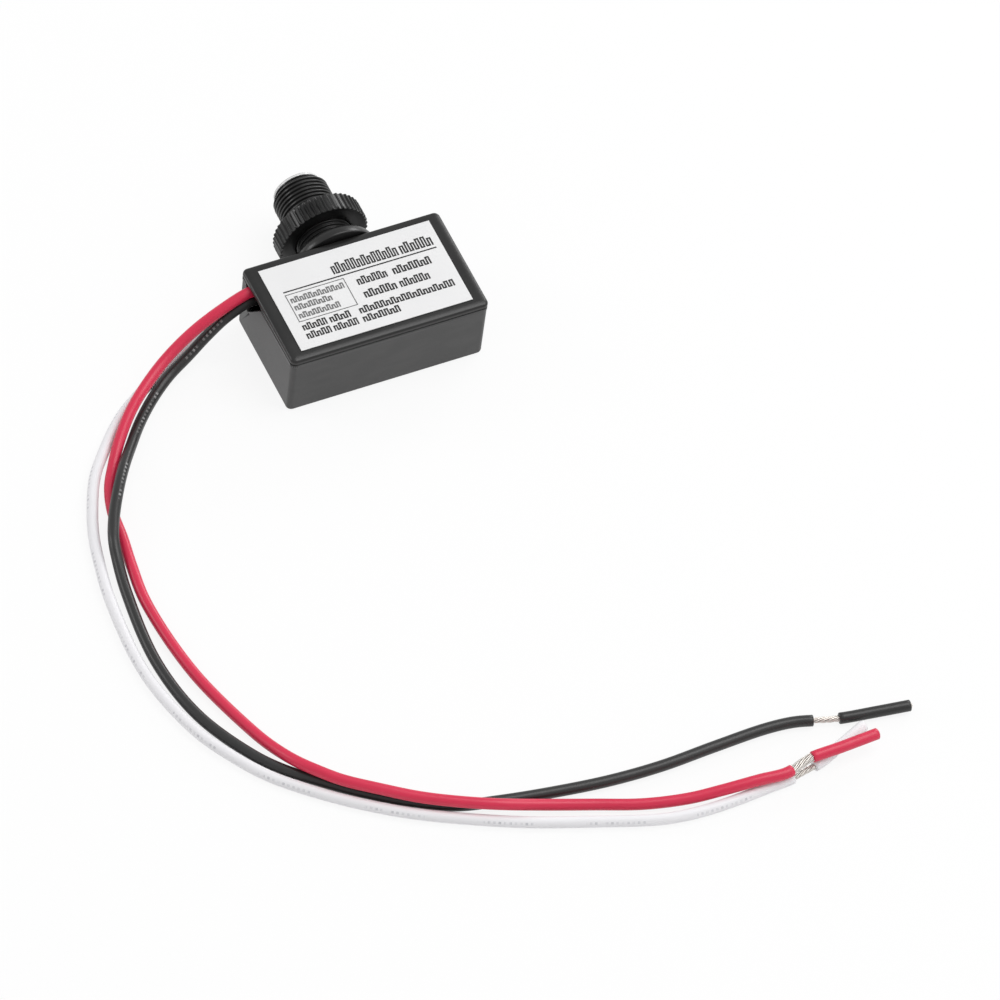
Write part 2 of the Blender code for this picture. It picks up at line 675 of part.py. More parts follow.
def make_gasket():
    """Rubber ring whose outer side domes in from the foot to the thread."""
    lip = GASKET_BORE_RADIUS + GASKET_LIP
    outline = [(GASKET_BORE_RADIUS, GASKET_HEIGHT), (lip, GASKET_HEIGHT)]
    for angle in np.radians(np.linspace(80, 0, 8)):
        radius = lip + (GASKET_RADIUS - lip) * math.cos(angle)
        height = GASKET_RIM + (GASKET_HEIGHT - GASKET_RIM) * math.sin(angle)
        outline.append((radius, height))
    outline.append((GASKET_RADIUS, 0.0))
    outline.append((GASKET_BORE_RADIUS, 0.0))
    return face_along_neck(turned("gasket", outline, "black_rubber"), BACK_Y + SEAT_GAP)


def nut_outline():
    """Points round the nut: each rib rises from a wide valley to a narrow crest.

    The crest's slope is allowed for, so that the rim's chamfer ends at the nut's full radius.
    """
    fall = NUT_RIB_HEIGHT * (1.0 - NUT_RIB_SHOULDER)
    run = NUT_RADIUS * math.sin(math.tau * NUT_SHOULDER_PHASE / NUT_RIBS)
    crest = NUT_RADIUS - NUT_CHAMFER / math.cos(math.atan2(fall, run))
    profile = (
        (-0.5, 0.0),
        (-NUT_FOOT_PHASE, 0.0),
        (-NUT_SHOULDER_PHASE, NUT_RIB_SHOULDER),
        (0.0, 1.0),
        (NUT_SHOULDER_PHASE, NUT_RIB_SHOULDER),
        (NUT_FOOT_PHASE, 0.0),
    )
    points = []
    for rib in range(NUT_RIBS):
        for phase, height in profile:
            angle = math.tau * (rib + phase) / NUT_RIBS
            radius = crest - NUT_RIB_HEIGHT * (1.0 - height)
            points.append((radius * math.cos(angle), radius * math.sin(angle)))
    return points


def round_outline(radius, steps):
    """Points round a circle."""
    angles = np.linspace(0, math.tau, steps, endpoint=False)
    return [(radius * math.cos(angle), radius * math.sin(angle)) for angle in angles]


def make_lock_nut():
    """Thumb nut with straight ribs, as a flat outline with a bore and chamfered rims."""
    bore = NECK_ROOT_RADIUS + SEAT_GAP + NUT_CHAMFER
    curve = bpy.data.curves.new("lock_nut", "CURVE")
    curve.dimensions = "2D"
    curve.fill_mode = "BOTH"
    curve.extrude = NUT_THICKNESS / 2 - NUT_CHAMFER
    curve.bevel_depth = NUT_CHAMFER
    curve.bevel_resolution = 0
    for ring in (nut_outline(), round_outline(bore, ROUND_STEPS)):
        spline = curve.splines.new("POLY")
        spline.points.add(len(ring) - 1)
        for spot, (x, y) in zip(spline.points, ring):
            spot.co = (x, y, 0.0, 1.0)
        spline.use_cyclic_u = True
    curve.materials.append(finish("black_plastic"))
    source = bpy.data.objects.new("nut_outline", curve)
    PARTS.objects.link(source)
    source.rotation_euler = (math.radians(-90), 0.0, 0.0)
    source.location = (0.0, NUT_Y + NUT_THICKNESS / 2, AXIS_Z)
    return curve_to_mesh(source, "lock_nut")


def make_lens():
    """Window with a crowned flange on the neck's end and a spigot in the bore."""
    crown = [(LENS_RADIUS * f, LENS_PROUD - LENS_CROWN * f * f) for f in (0.0, 0.35, 0.65, 0.88)]
    outline = crown + [
        (LENS_RADIUS, LENS_PROUD - 1.5 * LENS_CROWN),
        (LENS_RADIUS, SEAT_GAP),
        (BORE_RADIUS - SEAT_GAP, SEAT_GAP),
        (BORE_RADIUS - SEAT_GAP, -LENS_SPIGOT),
        (0.0, -LENS_SPIGOT),
    ]
    return face_along_neck(turned("lens", outline, "clear_window"), NECK_END_Y)


def make_cell():
    """Light sensitive disc, its holder and its two wires down to the board."""
    cell_top = NECK_END_Y - LENS_SPIGOT - SEAT_GAP
    cell_foot = cell_top - CELL_THICKNESS
    disc = [(0.0, CELL_THICKNESS), (CELL_RADIUS, CELL_THICKNESS), (CELL_RADIUS, 0.0), (0.0, 0.0)]
    face_along_neck(turned("cds_cell", disc, "ceramic"), cell_foot)
    outer = BORE_RADIUS - SEAT_GAP
    inner = CELL_RADIUS + SEAT_GAP
    lip = CELL_PITCH / 2 + 2 * WIRE_RADIUS + SEAT_GAP
    back = cell_foot - SEAT_GAP
    front = SEAT_GAP + CELL_THICKNESS
    holder = [
        (outer, front),
        (outer, -HOLDER_FLOOR),
        (lip, -HOLDER_FLOOR),
        (lip, 0.0),
        (inner, 0.0),
        (inner, front),
    ]
    face_along_neck(turned("cell_holder", holder, "phenolic_board"), back)
    bend_y = INNER_BACK_Y - CELL_LEAD_REACH
    corner = 3 * WIRE_RADIUS
    for name, side in (("cell_lead_a", -1), ("cell_lead_b", 1)):
        x = side * CELL_PITCH / 2
        route = [
            (x, cell_foot - SEAT_GAP, AXIS_Z),
            (x, bend_y + corner, AXIS_Z),
            (x, bend_y + corner * BEND_MIDDLE, AXIS_Z - corner * BEND_MIDDLE),
            (x, bend_y, AXIS_Z - corner),
            (x, bend_y, FOOT_Z),
        ]
        wire(name, smooth_route(route, 3 * WIRE_RADIUS), WIRE_RADIUS, "tinned_copper", 1)


def make_board():
    """Insulating board on the pegs, with holes for the terminals' rivets."""
    low = (-BOARD_LENGTH / 2, CASE_Y - BOARD_DEPTH / 2, BOARD_Z)
    high = (BOARD_LENGTH / 2, CASE_Y + BOARD_DEPTH / 2, BOARD_TOP_Z)
    board = block("base_board", low, high, "phenolic_board", corner=PEG_INSET / 2)
    for place in rivet_places():
        hole = round_hole("board_hole", place, BOARD_Z - BOARD_THICKNESS, BOARD_TOP_Z + BOARD_THICKNESS)
        cut(board, hole)
    return board


def round_hole(name, place, low, high):
    """Upright cutter that leaves a rivet or screw its clearance."""
    return cylinder_upright(name, HOLE_RADIUS, low, high, place[0], place[1], "brass")


def rivet_places():
    """Where the feet of the line, load and neutral terminals are riveted to the board."""
    line = (LINE_POST_X + RIVET_TO_POST, CASE_Y)
    load = (LOAD_POST_X - RIVET_TO_POST, CASE_Y)
    neutral = (NEUTRAL_POST_X + RIVET_TO_POST, NEUTRAL_Y)
    return [line, load, neutral]


def make_rivets():
    """Rivets through each terminal's foot and the board."""
    top = FOOT_Z + STRIP_GAUGE + SEAT_GAP
    head = (RIVET_HEAD_RADIUS, RIVET_HEAD)
    for index, (x, y) in enumerate(rivet_places(), start=1):
        name = f"terminal_rivet_{index}"
        headed_pin(name, BOARD_Z - SEAT_GAP, top, STEM_RADIUS, head, head, x, y, "brass")


def lead_flag(name, post_x, low_z, from_back, drop):
    """Upright plate beside a terminal's post, which a lead's inner end meets."""
    low = (post_x - STRIP_GAUGE / 2, CASE_Y, low_z)
    high = (post_x + STRIP_GAUGE / 2, BACK_Y - from_back + LEAD_RADIUS, TOP_Z - drop + FLAG_HEIGHT / 2)
    return block(name, low, high, "brass")


def make_line_terminal():
    """Foot, post and shelf that carry the blade, with a flag for the black lead."""
    foot_z = FOOT_Z + STRIP_GAUGE / 2
    shelf_z = LINE_SHELF_Z + STRIP_GAUGE / 2
    path = [
        (LINE_POST_X + TERMINAL_FOOT, foot_z),
        (LINE_POST_X, foot_z),
        (LINE_POST_X, shelf_z),
        (LINE_POST_X + SHELF_LENGTH, shelf_z),
    ]
    terminal = folded_strip("line_terminal", path, STRIP_WIDTH, STRIP_GAUGE, CASE_Y, "brass")
    low_z = TOP_Z - BLACK_DROP - FLAG_HEIGHT / 2
    join(terminal, lead_flag("line_flag", LINE_POST_X, low_z, BLACK_BACK, BLACK_DROP))
    line, _, _ = rivet_places()
    pivot = (BLADE_PIVOT_X, CASE_Y)
    screw = (BLADE_PIVOT_X + SCREW_OFFSET, CASE_Y)
    cut(terminal, round_hole("line_foot_hole", line, BOARD_Z, FOOT_Z + 2 * STRIP_GAUGE))
    for place in (pivot, screw):
        hole = round_hole("line_shelf_hole", place, LINE_SHELF_Z - STRIP_GAUGE, BLADE_Z + STRIP_GAUGE)
        cut(terminal, hole)
    return terminal


def make_load_terminal():
    """Foot, post and shelf under the contact, with a flag for the red lead."""
    foot_z = FOOT_Z + STRIP_GAUGE / 2
    shelf_z = LOAD_SHELF_Z + STRIP_GAUGE / 2
    path = [
        (LOAD_POST_X - TERMINAL_FOOT, foot_z),
        (LOAD_POST_X, foot_z),
        (LOAD_POST_X, shelf_z),
        (LOAD_POST_X - SHELF_LENGTH, shelf_z),
    ]
    terminal = folded_strip("load_terminal", path, STRIP_WIDTH, STRIP_GAUGE, CASE_Y, "brass")
    join(terminal, lead_flag("load_flag", LOAD_POST_X, LOAD_SHELF_Z, RED_BACK, RED_DROP))
    _, load, _ = rivet_places()
    cut(terminal, round_hole("load_foot_hole", load, BOARD_Z, FOOT_Z + 2 * STRIP_GAUGE))
    contact = (CONTACT_X, CASE_Y)
    cut(terminal, round_hole("load_shelf_hole", contact, LOAD_SHELF_Z - STRIP_GAUGE, CONTACT_Z))
    return terminal


def make_neutral_terminal():
    """Foot and post for the white lead."""
    foot_z = FOOT_Z + STRIP_GAUGE / 2
    path = [
        (NEUTRAL_POST_X + TERMINAL_FOOT, foot_z),
        (NEUTRAL_POST_X, foot_z),
        (NEUTRAL_POST_X, TOP_Z - WHITE_DROP + LEAD_RADIUS - SEAT_GAP),
    ]
    terminal = folded_strip("neutral_terminal", path, NEUTRAL_WIDTH, STRIP_GAUGE, NEUTRAL_Y, "brass")
    _, _, neutral = rivet_places()
    cut(terminal, round_hole("neutral_foot_hole", neutral, BOARD_Z, FOOT_Z + 2 * STRIP_GAUGE))
    return terminal


def pivot_empty(name, place):
    """An empty that a moving piece hangs on, on the axis of its motion."""
    empty = bpy.data.objects.new(name, None)
    empty.location = place
    empty.empty_display_size = PIVOT_MARK_SIZE
    PARTS.objects.link(empty)
    return empty


def hang_on(thing, empty):
    """Parent a piece to an empty and keep it where it is."""
    thing.parent = empty
    thing.matrix_parent_inverse = Matrix.Translation(-empty.location)
    return thing


def make_blade():
    """Bimetal strip, its contact, and the rivet and screw at its root."""
    pivot = pivot_empty("blade_pivot", (BLADE_PIVOT_X, CASE_Y, BLADE_Z + BLADE_GAUGE / 2))
    low = (BLADE_PIVOT_X - BLADE_TAIL, CASE_Y - BLADE_WIDTH / 2, BLADE_Z)
    high = (CONTACT_X + BLADE_TIP, CASE_Y + BLADE_WIDTH / 2, BLADE_Z + BLADE_GAUGE)
    blade = block("bimetal_blade", low, high, "bimetal", corner=BLADE_CORNER)
    for x in (BLADE_PIVOT_X, BLADE_PIVOT_X + SCREW_OFFSET, CONTACT_X):
        cut(blade, round_hole("blade_hole", (x, CASE_Y), BLADE_Z - BLADE_GAUGE, BLADE_Z + 2 * BLADE_GAUGE))
    hang_on(blade, pivot)
    blade_top = BLADE_Z + BLADE_GAUGE + SEAT_GAP
    contact = headed_pin(
        "moving_contact", BLADE_Z - SEAT_GAP, blade_top, STEM_RADIUS, (RIVET_HEAD_RADIUS, RIVET_HEAD),
        (CONTACT_RADIUS, CONTACT_THICKNESS), CONTACT_X, CASE_Y, "silver",
    )
    hang_on(contact, pivot)
    headed_pin(
        "blade_rivet", LINE_SHELF_Z - SEAT_GAP, blade_top, STEM_RADIUS, (RIVET_HEAD_RADIUS, RIVET_HEAD),
        (RIVET_HEAD_RADIUS, RIVET_HEAD), BLADE_PIVOT_X, CASE_Y, "brass",
    )
    make_calibration_screw(blade_top)


def make_calibration_screw(seat_z):
    """Slotted screw through the blade and shelf that sets the light level."""
    x = BLADE_PIVOT_X + SCREW_OFFSET
    screw = headed_pin(
        "calibration_screw", LINE_SHELF_Z - SCREW_TIP, seat_z, STEM_RADIUS, (SCREW_HEAD_RADIUS, SCREW_HEAD),
        (0.0, 0.0), x, CASE_Y, "steel",
    )
    slot = block(
        "screw_slot",
        (x - SCREW_HEAD_RADIUS * 2, CASE_Y - SCREW_SLOT / 2, seat_z + SCREW_HEAD / 2),
        (x + SCREW_HEAD_RADIUS * 2, CASE_Y + SCREW_SLOT / 2, seat_z + SCREW_HEAD * 2),
        "steel",
    )
    cut(screw, slot)


def make_fixed_contact():
    """Silver contact riveted in the load terminal's shelf."""
    shelf_top = LOAD_SHELF_Z + STRIP_GAUGE
    headed_pin(
        "fixed_contact", LOAD_SHELF_Z - SEAT_GAP, shelf_top + SEAT_GAP, STEM_RADIUS,
        (CONTACT_RADIUS, CONTACT_THICKNESS), (RIVET_HEAD_RADIUS, RIVET_HEAD), CONTACT_X, CASE_Y, "silver",
    )


def make_heater():
    """Resistor under the blade, held by its two wires, which go down to the board."""
    centre_z = BOARD_TOP_Z + HEATER_RISE
    half = HEATER_LENGTH / 2
    cap = HEATER_RADIUS * 0.8
    outline = [
        (0.0, half), (cap, half), (HEATER_RADIUS, half - HEATER_CAP), (HEATER_RADIUS, HEATER_CAP - half),
        (cap, -half), (0.0, -half),
    ]
    body = turned("heater_resistor", outline, "ceramic", SMALL_STEPS)
    body.rotation_euler = (0.0, math.radians(90), 0.0)
    body.location = (HEATER_X, CASE_Y, centre_z)
    for name, side in (("heater_lead_a", -1), ("heater_lead_b", 1)):
        start = HEATER_X + side * (half + SEAT_GAP)
        bend = start + side * HEATER_LEAD_REACH
        corner = 2 * WIRE_RADIUS
        route = [
            (start, CASE_Y, centre_z),
            (bend - side * corner, CASE_Y, centre_z),
            (bend - side * corner * BEND_MIDDLE, CASE_Y, centre_z - corner * BEND_MIDDLE),
            (bend, CASE_Y, centre_z - corner),
            (bend, CASE_Y, FOOT_Z),
        ]
        wire(name, smooth_route(route, 3 * WIRE_RADIUS), WIRE_RADIUS, "tinned_copper", 1)


def inner_route(post_x, from_back, drop):
    """A lead's stretch from its terminal to the exit, in metres."""
    start = post_x - STRIP_GAUGE / 2 - SEAT_GAP
    y = BACK_Y - from_back
    z = TOP_Z - drop
    return [(start, y, z), (LEFT_X + EXIT_STRAIGHT, y, z), (LEFT_X - RIM_PROUD, y, z - SEAT_GAP / 3)]


def make_leads():
    """Each lead's insulation, the bare strands past its end and the slug left on their tip."""
    routes = (
        ("red", LOAD_POST_X, RED_BACK, RED_DROP, RED_ROUTE, "red_insulation"),
        ("black", LINE_POST_X, BLACK_BACK, BLACK_DROP, BLACK_ROUTE, "black_insulation"),
        ("white", NEUTRAL_POST_X, WHITE_BACK, WHITE_DROP, WHITE_ROUTE, "white_insulation"),
    )
    for colour, post_x, from_back, drop, outer, finish_name in routes:
        points = inner_route(post_x, from_back, drop)
        points += [(x * MM, y * MM, z * MM) for x, y, z in outer]
        centre = smooth_route(points, MM / 2)
        along = np.linspace(0.0, 1.0, len(centre))
        total = np.linalg.norm(np.diff(centre, axis=0), axis=1).sum()
        slug_start = total - SLUG_LENGTH
        strand_start = slug_start - STRAND_LENGTH
        spans = (
            ("lead", 0.0, strand_start - SEAT_GAP, LEAD_RADIUS, LEAD_STEP, finish_name),
            ("strands", strand_start, slug_start - SEAT_GAP, STRAND_RADIUS, LEAD_STEP / 3, "tinned_copper"),
            ("slug", slug_start, total, LEAD_RADIUS, LEAD_STEP, finish_name),
        )
        for part, first, last, radius, step, span_finish in spans:
            count = max(2, int(round((last - first) / step)) + 1)
            marks = np.linspace(first, last, count) / total
            piece = np.stack([np.interp(marks, along, centre[:, axis]) for axis in range(3)], axis=1)
            wire(f"{colour}_{part}", piece, radius, span_finish)


def build():
    make_housing()
    make_cover()
    make_label()
    make_gasket()
    travel = pivot_empty("nut_travel", (0.0, NUT_Y, AXIS_Z))
    hang_on(make_lock_nut(), travel)
    make_lens()
    make_cell()
    make_board()
    make_line_terminal()
    make_load_terminal()
    make_neutral_terminal()
    make_rivets()
    make_blade()
    make_fixed_contact()
    make_heater()
    make_leads()


build()
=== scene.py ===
"""Looks of the button photocell switch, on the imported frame.

The frame holds the pieces at their places: X along the case, Y out along the neck, Z out of the
label.  This script gives every piece its finish, models the thread, the nut's ribs and the soft
edges finely, marks the label with plain meanders, and lays the three leads with their twisted
ends.
"""

import math

import bmesh
import bpy
import numpy as np
from mathutils import Matrix, Vector


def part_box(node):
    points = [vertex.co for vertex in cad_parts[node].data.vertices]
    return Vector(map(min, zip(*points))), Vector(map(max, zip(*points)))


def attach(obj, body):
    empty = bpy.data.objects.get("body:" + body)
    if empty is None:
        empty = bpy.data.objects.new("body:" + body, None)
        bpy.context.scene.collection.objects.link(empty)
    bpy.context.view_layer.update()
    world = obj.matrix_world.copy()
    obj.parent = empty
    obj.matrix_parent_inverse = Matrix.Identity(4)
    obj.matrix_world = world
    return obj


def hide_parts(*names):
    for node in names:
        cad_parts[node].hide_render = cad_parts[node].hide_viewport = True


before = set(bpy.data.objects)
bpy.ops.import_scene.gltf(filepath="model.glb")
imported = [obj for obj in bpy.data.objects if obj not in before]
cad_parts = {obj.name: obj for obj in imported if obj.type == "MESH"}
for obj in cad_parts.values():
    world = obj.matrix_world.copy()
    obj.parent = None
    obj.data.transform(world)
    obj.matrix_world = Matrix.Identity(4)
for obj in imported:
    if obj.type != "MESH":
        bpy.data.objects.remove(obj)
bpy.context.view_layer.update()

MM = 0.001
UP = np.array([0.0, 0.0, 1.0])

# Distances below which points are welded: in new meshes, in the cup's copy and in the thread
WELD_DISTANCE = 1e-7
CUP_WELD = 1e-6
THREAD_WELD = 2e-6

# Small distance by which pieces stand off from each other or reach into each other
SEAT_GAP = 0.3 * MM

# Places taken from the frame
CASE_LOW, CASE_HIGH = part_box("cover")
NECK_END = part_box("housing")[1].y
NUT_LOW, NUT_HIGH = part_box("lock_nut")
GASKET_LOW, GASKET_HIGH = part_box("gasket")
LENS_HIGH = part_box("lens")[1]
LABEL_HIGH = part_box("label")[1]
AXIS_Z = (NUT_LOW.z + NUT_HIGH.z) / 2
LEFT_X = CASE_LOW.x
BACK_Y = CASE_HIGH.y

# Thread, which fades out over a length at both ends, and nut
THREAD_ROOT = 6.65 * MM
THREAD_CREST = 7.2 * MM
THREAD_PITCH = 1.1 * MM
THREAD_FADE = 0.7 * MM
NECK_CHAMFER = 0.5 * MM
NUT_RIBS = 48
NUT_RIB_HEIGHT = 0.45 * MM
NUT_EDGE = 0.25 * MM
NUT_BORE = 7.3 * MM

# Steps of a full turn, of one pitch of the thread and of one rib, and in shares: where the flank
# of the thread starts and its length, and where the flank of a rib ends and its length
TURN_STEPS = 96
THREAD_STEPS = 16
NUT_RIB_STEPS = 14
THREAD_FLANK_START = 0.18
THREAD_FLANK = 0.62
NUT_RIB_FLANK_END = 0.27
NUT_RIB_FLANK = 0.2

# Cover: its rounded rim, the wider band of the soft fall behind it, and the ribs below, with the
# steps of the rim, of the band and of a corner
COVER_THICKNESS = 1.5 * MM
COVER_ROUND = 0.5 * MM
COVER_BAND = 1.9 * MM
COVER_FALL = 0.38 * MM
COVER_FOOT_EDGE = 0.12 * MM
CORNER_RADIUS = 1.5 * MM
LEAST_CORNER = 0.05 * MM
COVER_ROUND_STEPS = 9
COVER_BAND_STEPS = 12
CORNER_STEPS = 13
COVER_RIB_LENGTH = 30.0 * MM
COVER_RIB_WIDTH = 0.8 * MM
COVER_RIB_HEIGHT = 0.7 * MM
COVER_RIB_INSET = 2.0 * MM

# Gasket: bore, height of its upright rim, width of the lip at the thread, round edge at the foot,
# narrow ring round the bore's foot, and chamfer of the lip
GASKET_BORE = 7.3 * MM
GASKET_RIM = 0.7 * MM
GASKET_LIP = 0.5 * MM
GASKET_FOOT_EDGE = 0.3 * MM
GASKET_FOOT_RING = 0.2 * MM
GASKET_CHAMFER = 0.15 * MM
DOME_STEPS = 22
FOOT_EDGE_STEPS = 5

# Window: disc with a round edge and a slight dome, its spigot in the neck, and the seal below it
LENS_RADIUS = 6.1 * MM
LENS_EDGE = 0.2 * MM
LENS_CROWN = 0.4 * MM
CROWN_STEPS = 14
LENS_EDGE_STEPS = 6
SPIGOT_RADIUS = 4.7 * MM
SPIGOT_LENGTH = 1.8 * MM
SEAL_HEIGHT = 0.3 * MM

# Where the window's grey rim, painted shade for its edge seen edge on, starts and is full: from its
# radius inwards, and from its edge down
PAINTED_RIM_SHADE_INSETS = (0.35 * MM, 0.1 * MM)
PAINTED_RIM_SHADE_DEPTHS = (0.22 * MM, 0.08 * MM)
PAINTED_RIM_SHADE_STRENGTH = 0.85

# Indices of refraction
PLASTIC_INDEX = 1.5
PAPER_INDEX = 1.45
WINDOW_INDEX = 1.49
CERAMIC_INDEX = 1.6

# Track of the light cell, which stops short of its rim
TRACK_PITCH = 1.1 * MM
TRACK_HALF_SHARE = 0.2
TRACK_REACH = 3.1 * MM

# Leads: radius, share and waves by which it wavers, chamfers of the ends, length of a slug, how
# far the red lead runs on inside the case, steps of the route, and the blots of the faint streak
# in a metre along and around
LEAD_RADIUS = 1.4 * MM
LEAD_SIDES = 24
LEAD_STEP = 1.0 * MM
LEAD_WAVER = 0.006
LEAD_WAVES = (41, 17)
JACKET_EDGE = 0.12 * MM
SLUG_EDGE = 0.15 * MM
SLUG_LENGTH = 18.0 * MM
RED_INSIDE = 20.0 * MM
ROUTE_STEP = 0.5 * MM
ROUTE_SAMPLES = 24
STREAK_ALONG = 60.0
STREAK_AROUND = 900.0
LILAC = (0.985, 0.975, 1.0)

# Bare wires: length, radius of one wire, and the shares by which the bundle bulges in its middle
# and each wire strays from the ring
STRAND_LENGTH = 6.0 * MM
STRAND_WIRE = 0.2 * MM
STRAND_SIDES = 8
STRAND_BULGE = 0.1
STRAND_WANDER = 0.12
STRAND_WAVES = 3

# Cut wires that look out of a slug's end: how far, over what length, how many round the core and
# how far from it
CUT_PROUD = 0.4 * MM
CUT_LENGTH = 2.0 * MM
CUT_WIRES = 7
CUT_SPREAD = 2.2 * STRAND_WIRE

# Dashes along a lead: groups, dashes in a group, the row's half height, the length over which they
# come and go, and their strength
GROUP_PITCH = 26 * MM
GROUP_START = 0.46
GROUP_SHARE = 0.55
DASH_PITCH = 1.25 * MM
DASH_SHARE = 0.5
DASH_HALF_HEIGHT = 0.32 * MM
WEAR_LENGTH = 2.2 * MM
MARK_STRENGTH = 0.5

# Each lead's way from its terminal through the exit and along the surface, in millimetres
RED_ROUTE = [
    (15.8, -2.1, 17.4), (-23.5, -2.1, 17.4), (-26.1, -2.1, 17.3),
    (-33.9, -3.0, 14.7), (-41.5, -4.3, 11.2), (-49.6, -7.4, 8.0), (-57.4, -12.5, 6.1),
    (-63.1, -17.7, 5.7), (-68.7, -24.3, 4.8), (-72.4, -29.6, 3.5), (-75.6, -35.1, 3.3),
    (-77.9, -42.2, 3.6), (-78.9, -50.5, 3.9), (-80.3, -59.2, 4.3), (-81.5, -70.8, 4.7),
    (-79.5, -94.2, 5.6), (-73.6, -115.5, 6.5), (-71.2, -122.5, 7.6), (-68.6, -128.9, 9.4),
    (-65.5, -133.8, 10.5), (-61.4, -138.4, 10.8), (-54.5, -144.0, 11.1), (-46.3, -149.8, 11.1),
    (-38.2, -154.4, 11.2), (-29.8, -158.3, 11.1), (-20.5, -160.8, 9.5), (-8.4, -164.6, 8.5),
    (2.9, -168.9, 8.7), (13.2, -171.7, 9.5), (21.4, -173.1, 10.7), (29.9, -174.2, 11.8),
    (36.8, -174.8, 12.0), (43.1, -173.0, 12.0), (52.4, -172.6, 12.0), (62.2, -171.9, 11.7),
]
BLACK_ROUTE = [
    (-18.6, -2.5, 14.35), (-23.5, -2.5, 14.35), (-26.1, -2.5, 14.25),
    (-32.0, -3.2, 11.8), (-37.3, -4.3, 8.4), (-42.9, -6.4, 5.6), (-48.9, -8.9, 3.4),
    (-54.8, -13.1, 2.5), (-60.7, -18.9, 2.7), (-65.8, -25.3, 3.9), (-71.4, -33.0, 6.0),
    (-75.5, -39.3, 6.7), (-79.6, -46.5, 6.6), (-82.0, -52.1, 6.5), (-83.2, -57.5, 5.3),
    (-84.7, -66.7, 4.6), (-86.4, -88.3, 5.4), (-83.6, -106.7, 6.2), (-76.4, -122.0, 6.7),
    (-71.5, -128.6, 7.0), (-66.0, -133.9, 7.3), (-57.6, -141.2, 7.6), (-47.9, -148.1, 7.8),
    (-38.6, -153.0, 8.0), (-28.3, -155.6, 8.2), (-14.3, -158.0, 8.2), (-1.6, -159.6, 8.3),
    (11.6, -160.1, 8.3), (25.4, -159.4, 8.2), (39.2, -159.0, 8.2), (46.1, -159.7, 8.3),
    (51.3, -161.2, 8.4), (56.8, -162.6, 8.3), (65.6, -164.0, 8.4), (74.4, -165.3, 8.5),
]
WHITE_ROUTE = [
    (-21.8, -0.8, 11.82), (-23.5, -0.8, 11.82), (-26.1, -0.8, 11.72),
    (-30.9, -0.5, 8.6), (-36.3, -1.4, 5.4), (-42.8, -3.2, 3.2), (-50.1, -6.5, 2.2),
    (-57.5, -10.9, 2.4), (-63.4, -15.0, 2.5), (-68.3, -19.6, 2.8), (-72.5, -24.3, 2.9),
    (-77.4, -30.5, 3.1), (-81.4, -38.2, 3.5), (-84.8, -46.8, 3.7), (-87.1, -55.8, 4.1),
    (-89.1, -67.1, 4.5), (-90.2, -90.6, 5.5), (-86.1, -110.0, 6.3), (-81.6, -119.6, 6.7),
    (-75.5, -128.9, 7.0), (-66.3, -138.2, 7.4), (-57.8, -145.2, 7.7), (-47.5, -152.2, 8.0),
    (-27.1, -162.7, 8.4), (-10.6, -169.1, 8.6), (4.9, -174.5, 8.9), (13.2, -175.7, 8.9),
    (22.2, -175.8, 8.9), (31.5, -175.2, 8.9), (38.9, -174.7, 8.9), (42.0, -174.0, 8.9),
    (47.0, -172.8, 8.8), (54.0, -169.7, 8.6), (61.5, -166.5, 8.6),
]

# Marks on the label, in millimetres from the case's left edge and from its back edge: each run of
# strokes is where it starts and ends, its upper and lower edge, and its number of strokes
PRINT_THICKNESS = 0.02 * MM
BOLD_RUNS = [
    (20.2, 37.5, 6.4, 9.7, 26), (38.2, 46.7, 6.4, 9.7, 12),
    (24.5, 32.3, 12.4, 14.8, 12), (33.9, 43.9, 12.4, 14.8, 14),
    (24.5, 33.0, 16.6, 19.0, 12), (33.9, 41.7, 16.6, 19.0, 12),
    (6.5, 12.8, 20.9, 23.0, 10), (13.6, 19.0, 20.9, 23.0, 8), (21.4, 46.4, 20.9, 23.0, 36),
    (6.4, 12.8, 23.6, 25.7, 10), (13.5, 19.9, 23.6, 25.7, 10), (21.2, 30.9, 23.6, 25.7, 14),
]
FAINT_RUNS = [
    (7.1, 21.1, 12.5, 14.3, 24), (7.1, 16.9, 14.9, 16.7, 16), (7.1, 17.9, 17.5, 19.3, 18),
]

# A stroke's share of its pitch, the height of a tie, the share of its height by which a low stroke
# is shorter, the share of pairs that are low, and the golden share that spreads them
STROKE_SHARE = 0.62
TIE_HEIGHT = 0.42
LOW_STROKE = 0.24
LOW_SHARE = 0.45
GOLDEN = 0.618

# Rule and frame on the label: left, right, upper and lower edge
RULE = (6.4, 46.9, 10.42, 10.8)
FRAME_BOX = (6.4, 21.9, 11.45, 20.25)
FRAME_LINE = 0.24

# Camera, fitted to the photograph: it looks from this side at a point in the case, which falls on
# this pixel of the 1000 pixel picture
AIM = Vector((0.0, -12.8, 11.35)) * MM
CAMERA_AZIMUTH = -29.2
CAMERA_ELEVATION = 51.1
CAMERA_ROLL = -6.7
CAMERA_DISTANCE = 2.5
PICTURE = 1000
PIXELS_PER_MM = 4.143
AIM_PIXEL = (363.3, 311.2)
SENSOR = 36.0
CLIP_START = 0.1
CLIP_END = 20.0

# The surface that the nut's rim and the case's front edge stand on, drawn a hair lower so that no
# lead dips into it
REST_Y = 10.6 * MM
REST_SLOPE = 0.0398
REST_DROP = 0.1 * MM
FLOOR_SIZE = 3.0
FLOOR_WHITE = 0.86
FLOOR_GLOW = 0.88

# Light: the world's strength for all but the camera, and the lamps' names, directions from the
# case, distances and sides in metres, and watts
WORLD_STRENGTH = 0.62
LAMPS = [
    ("key", (0.38, -0.04, 0.92), 1.6, 1.0, 10.0),
    ("fill", (0.9, -0.6, 0.9), 1.8, 1.2, 4.0),
    ("rim", (0.78, 0.55, 0.38), 1.6, 0.5, 4.5),
    ("left rim", (-0.72, 0.55, 0.42), 1.6, 0.4, 3.0),
]


# Shader maths


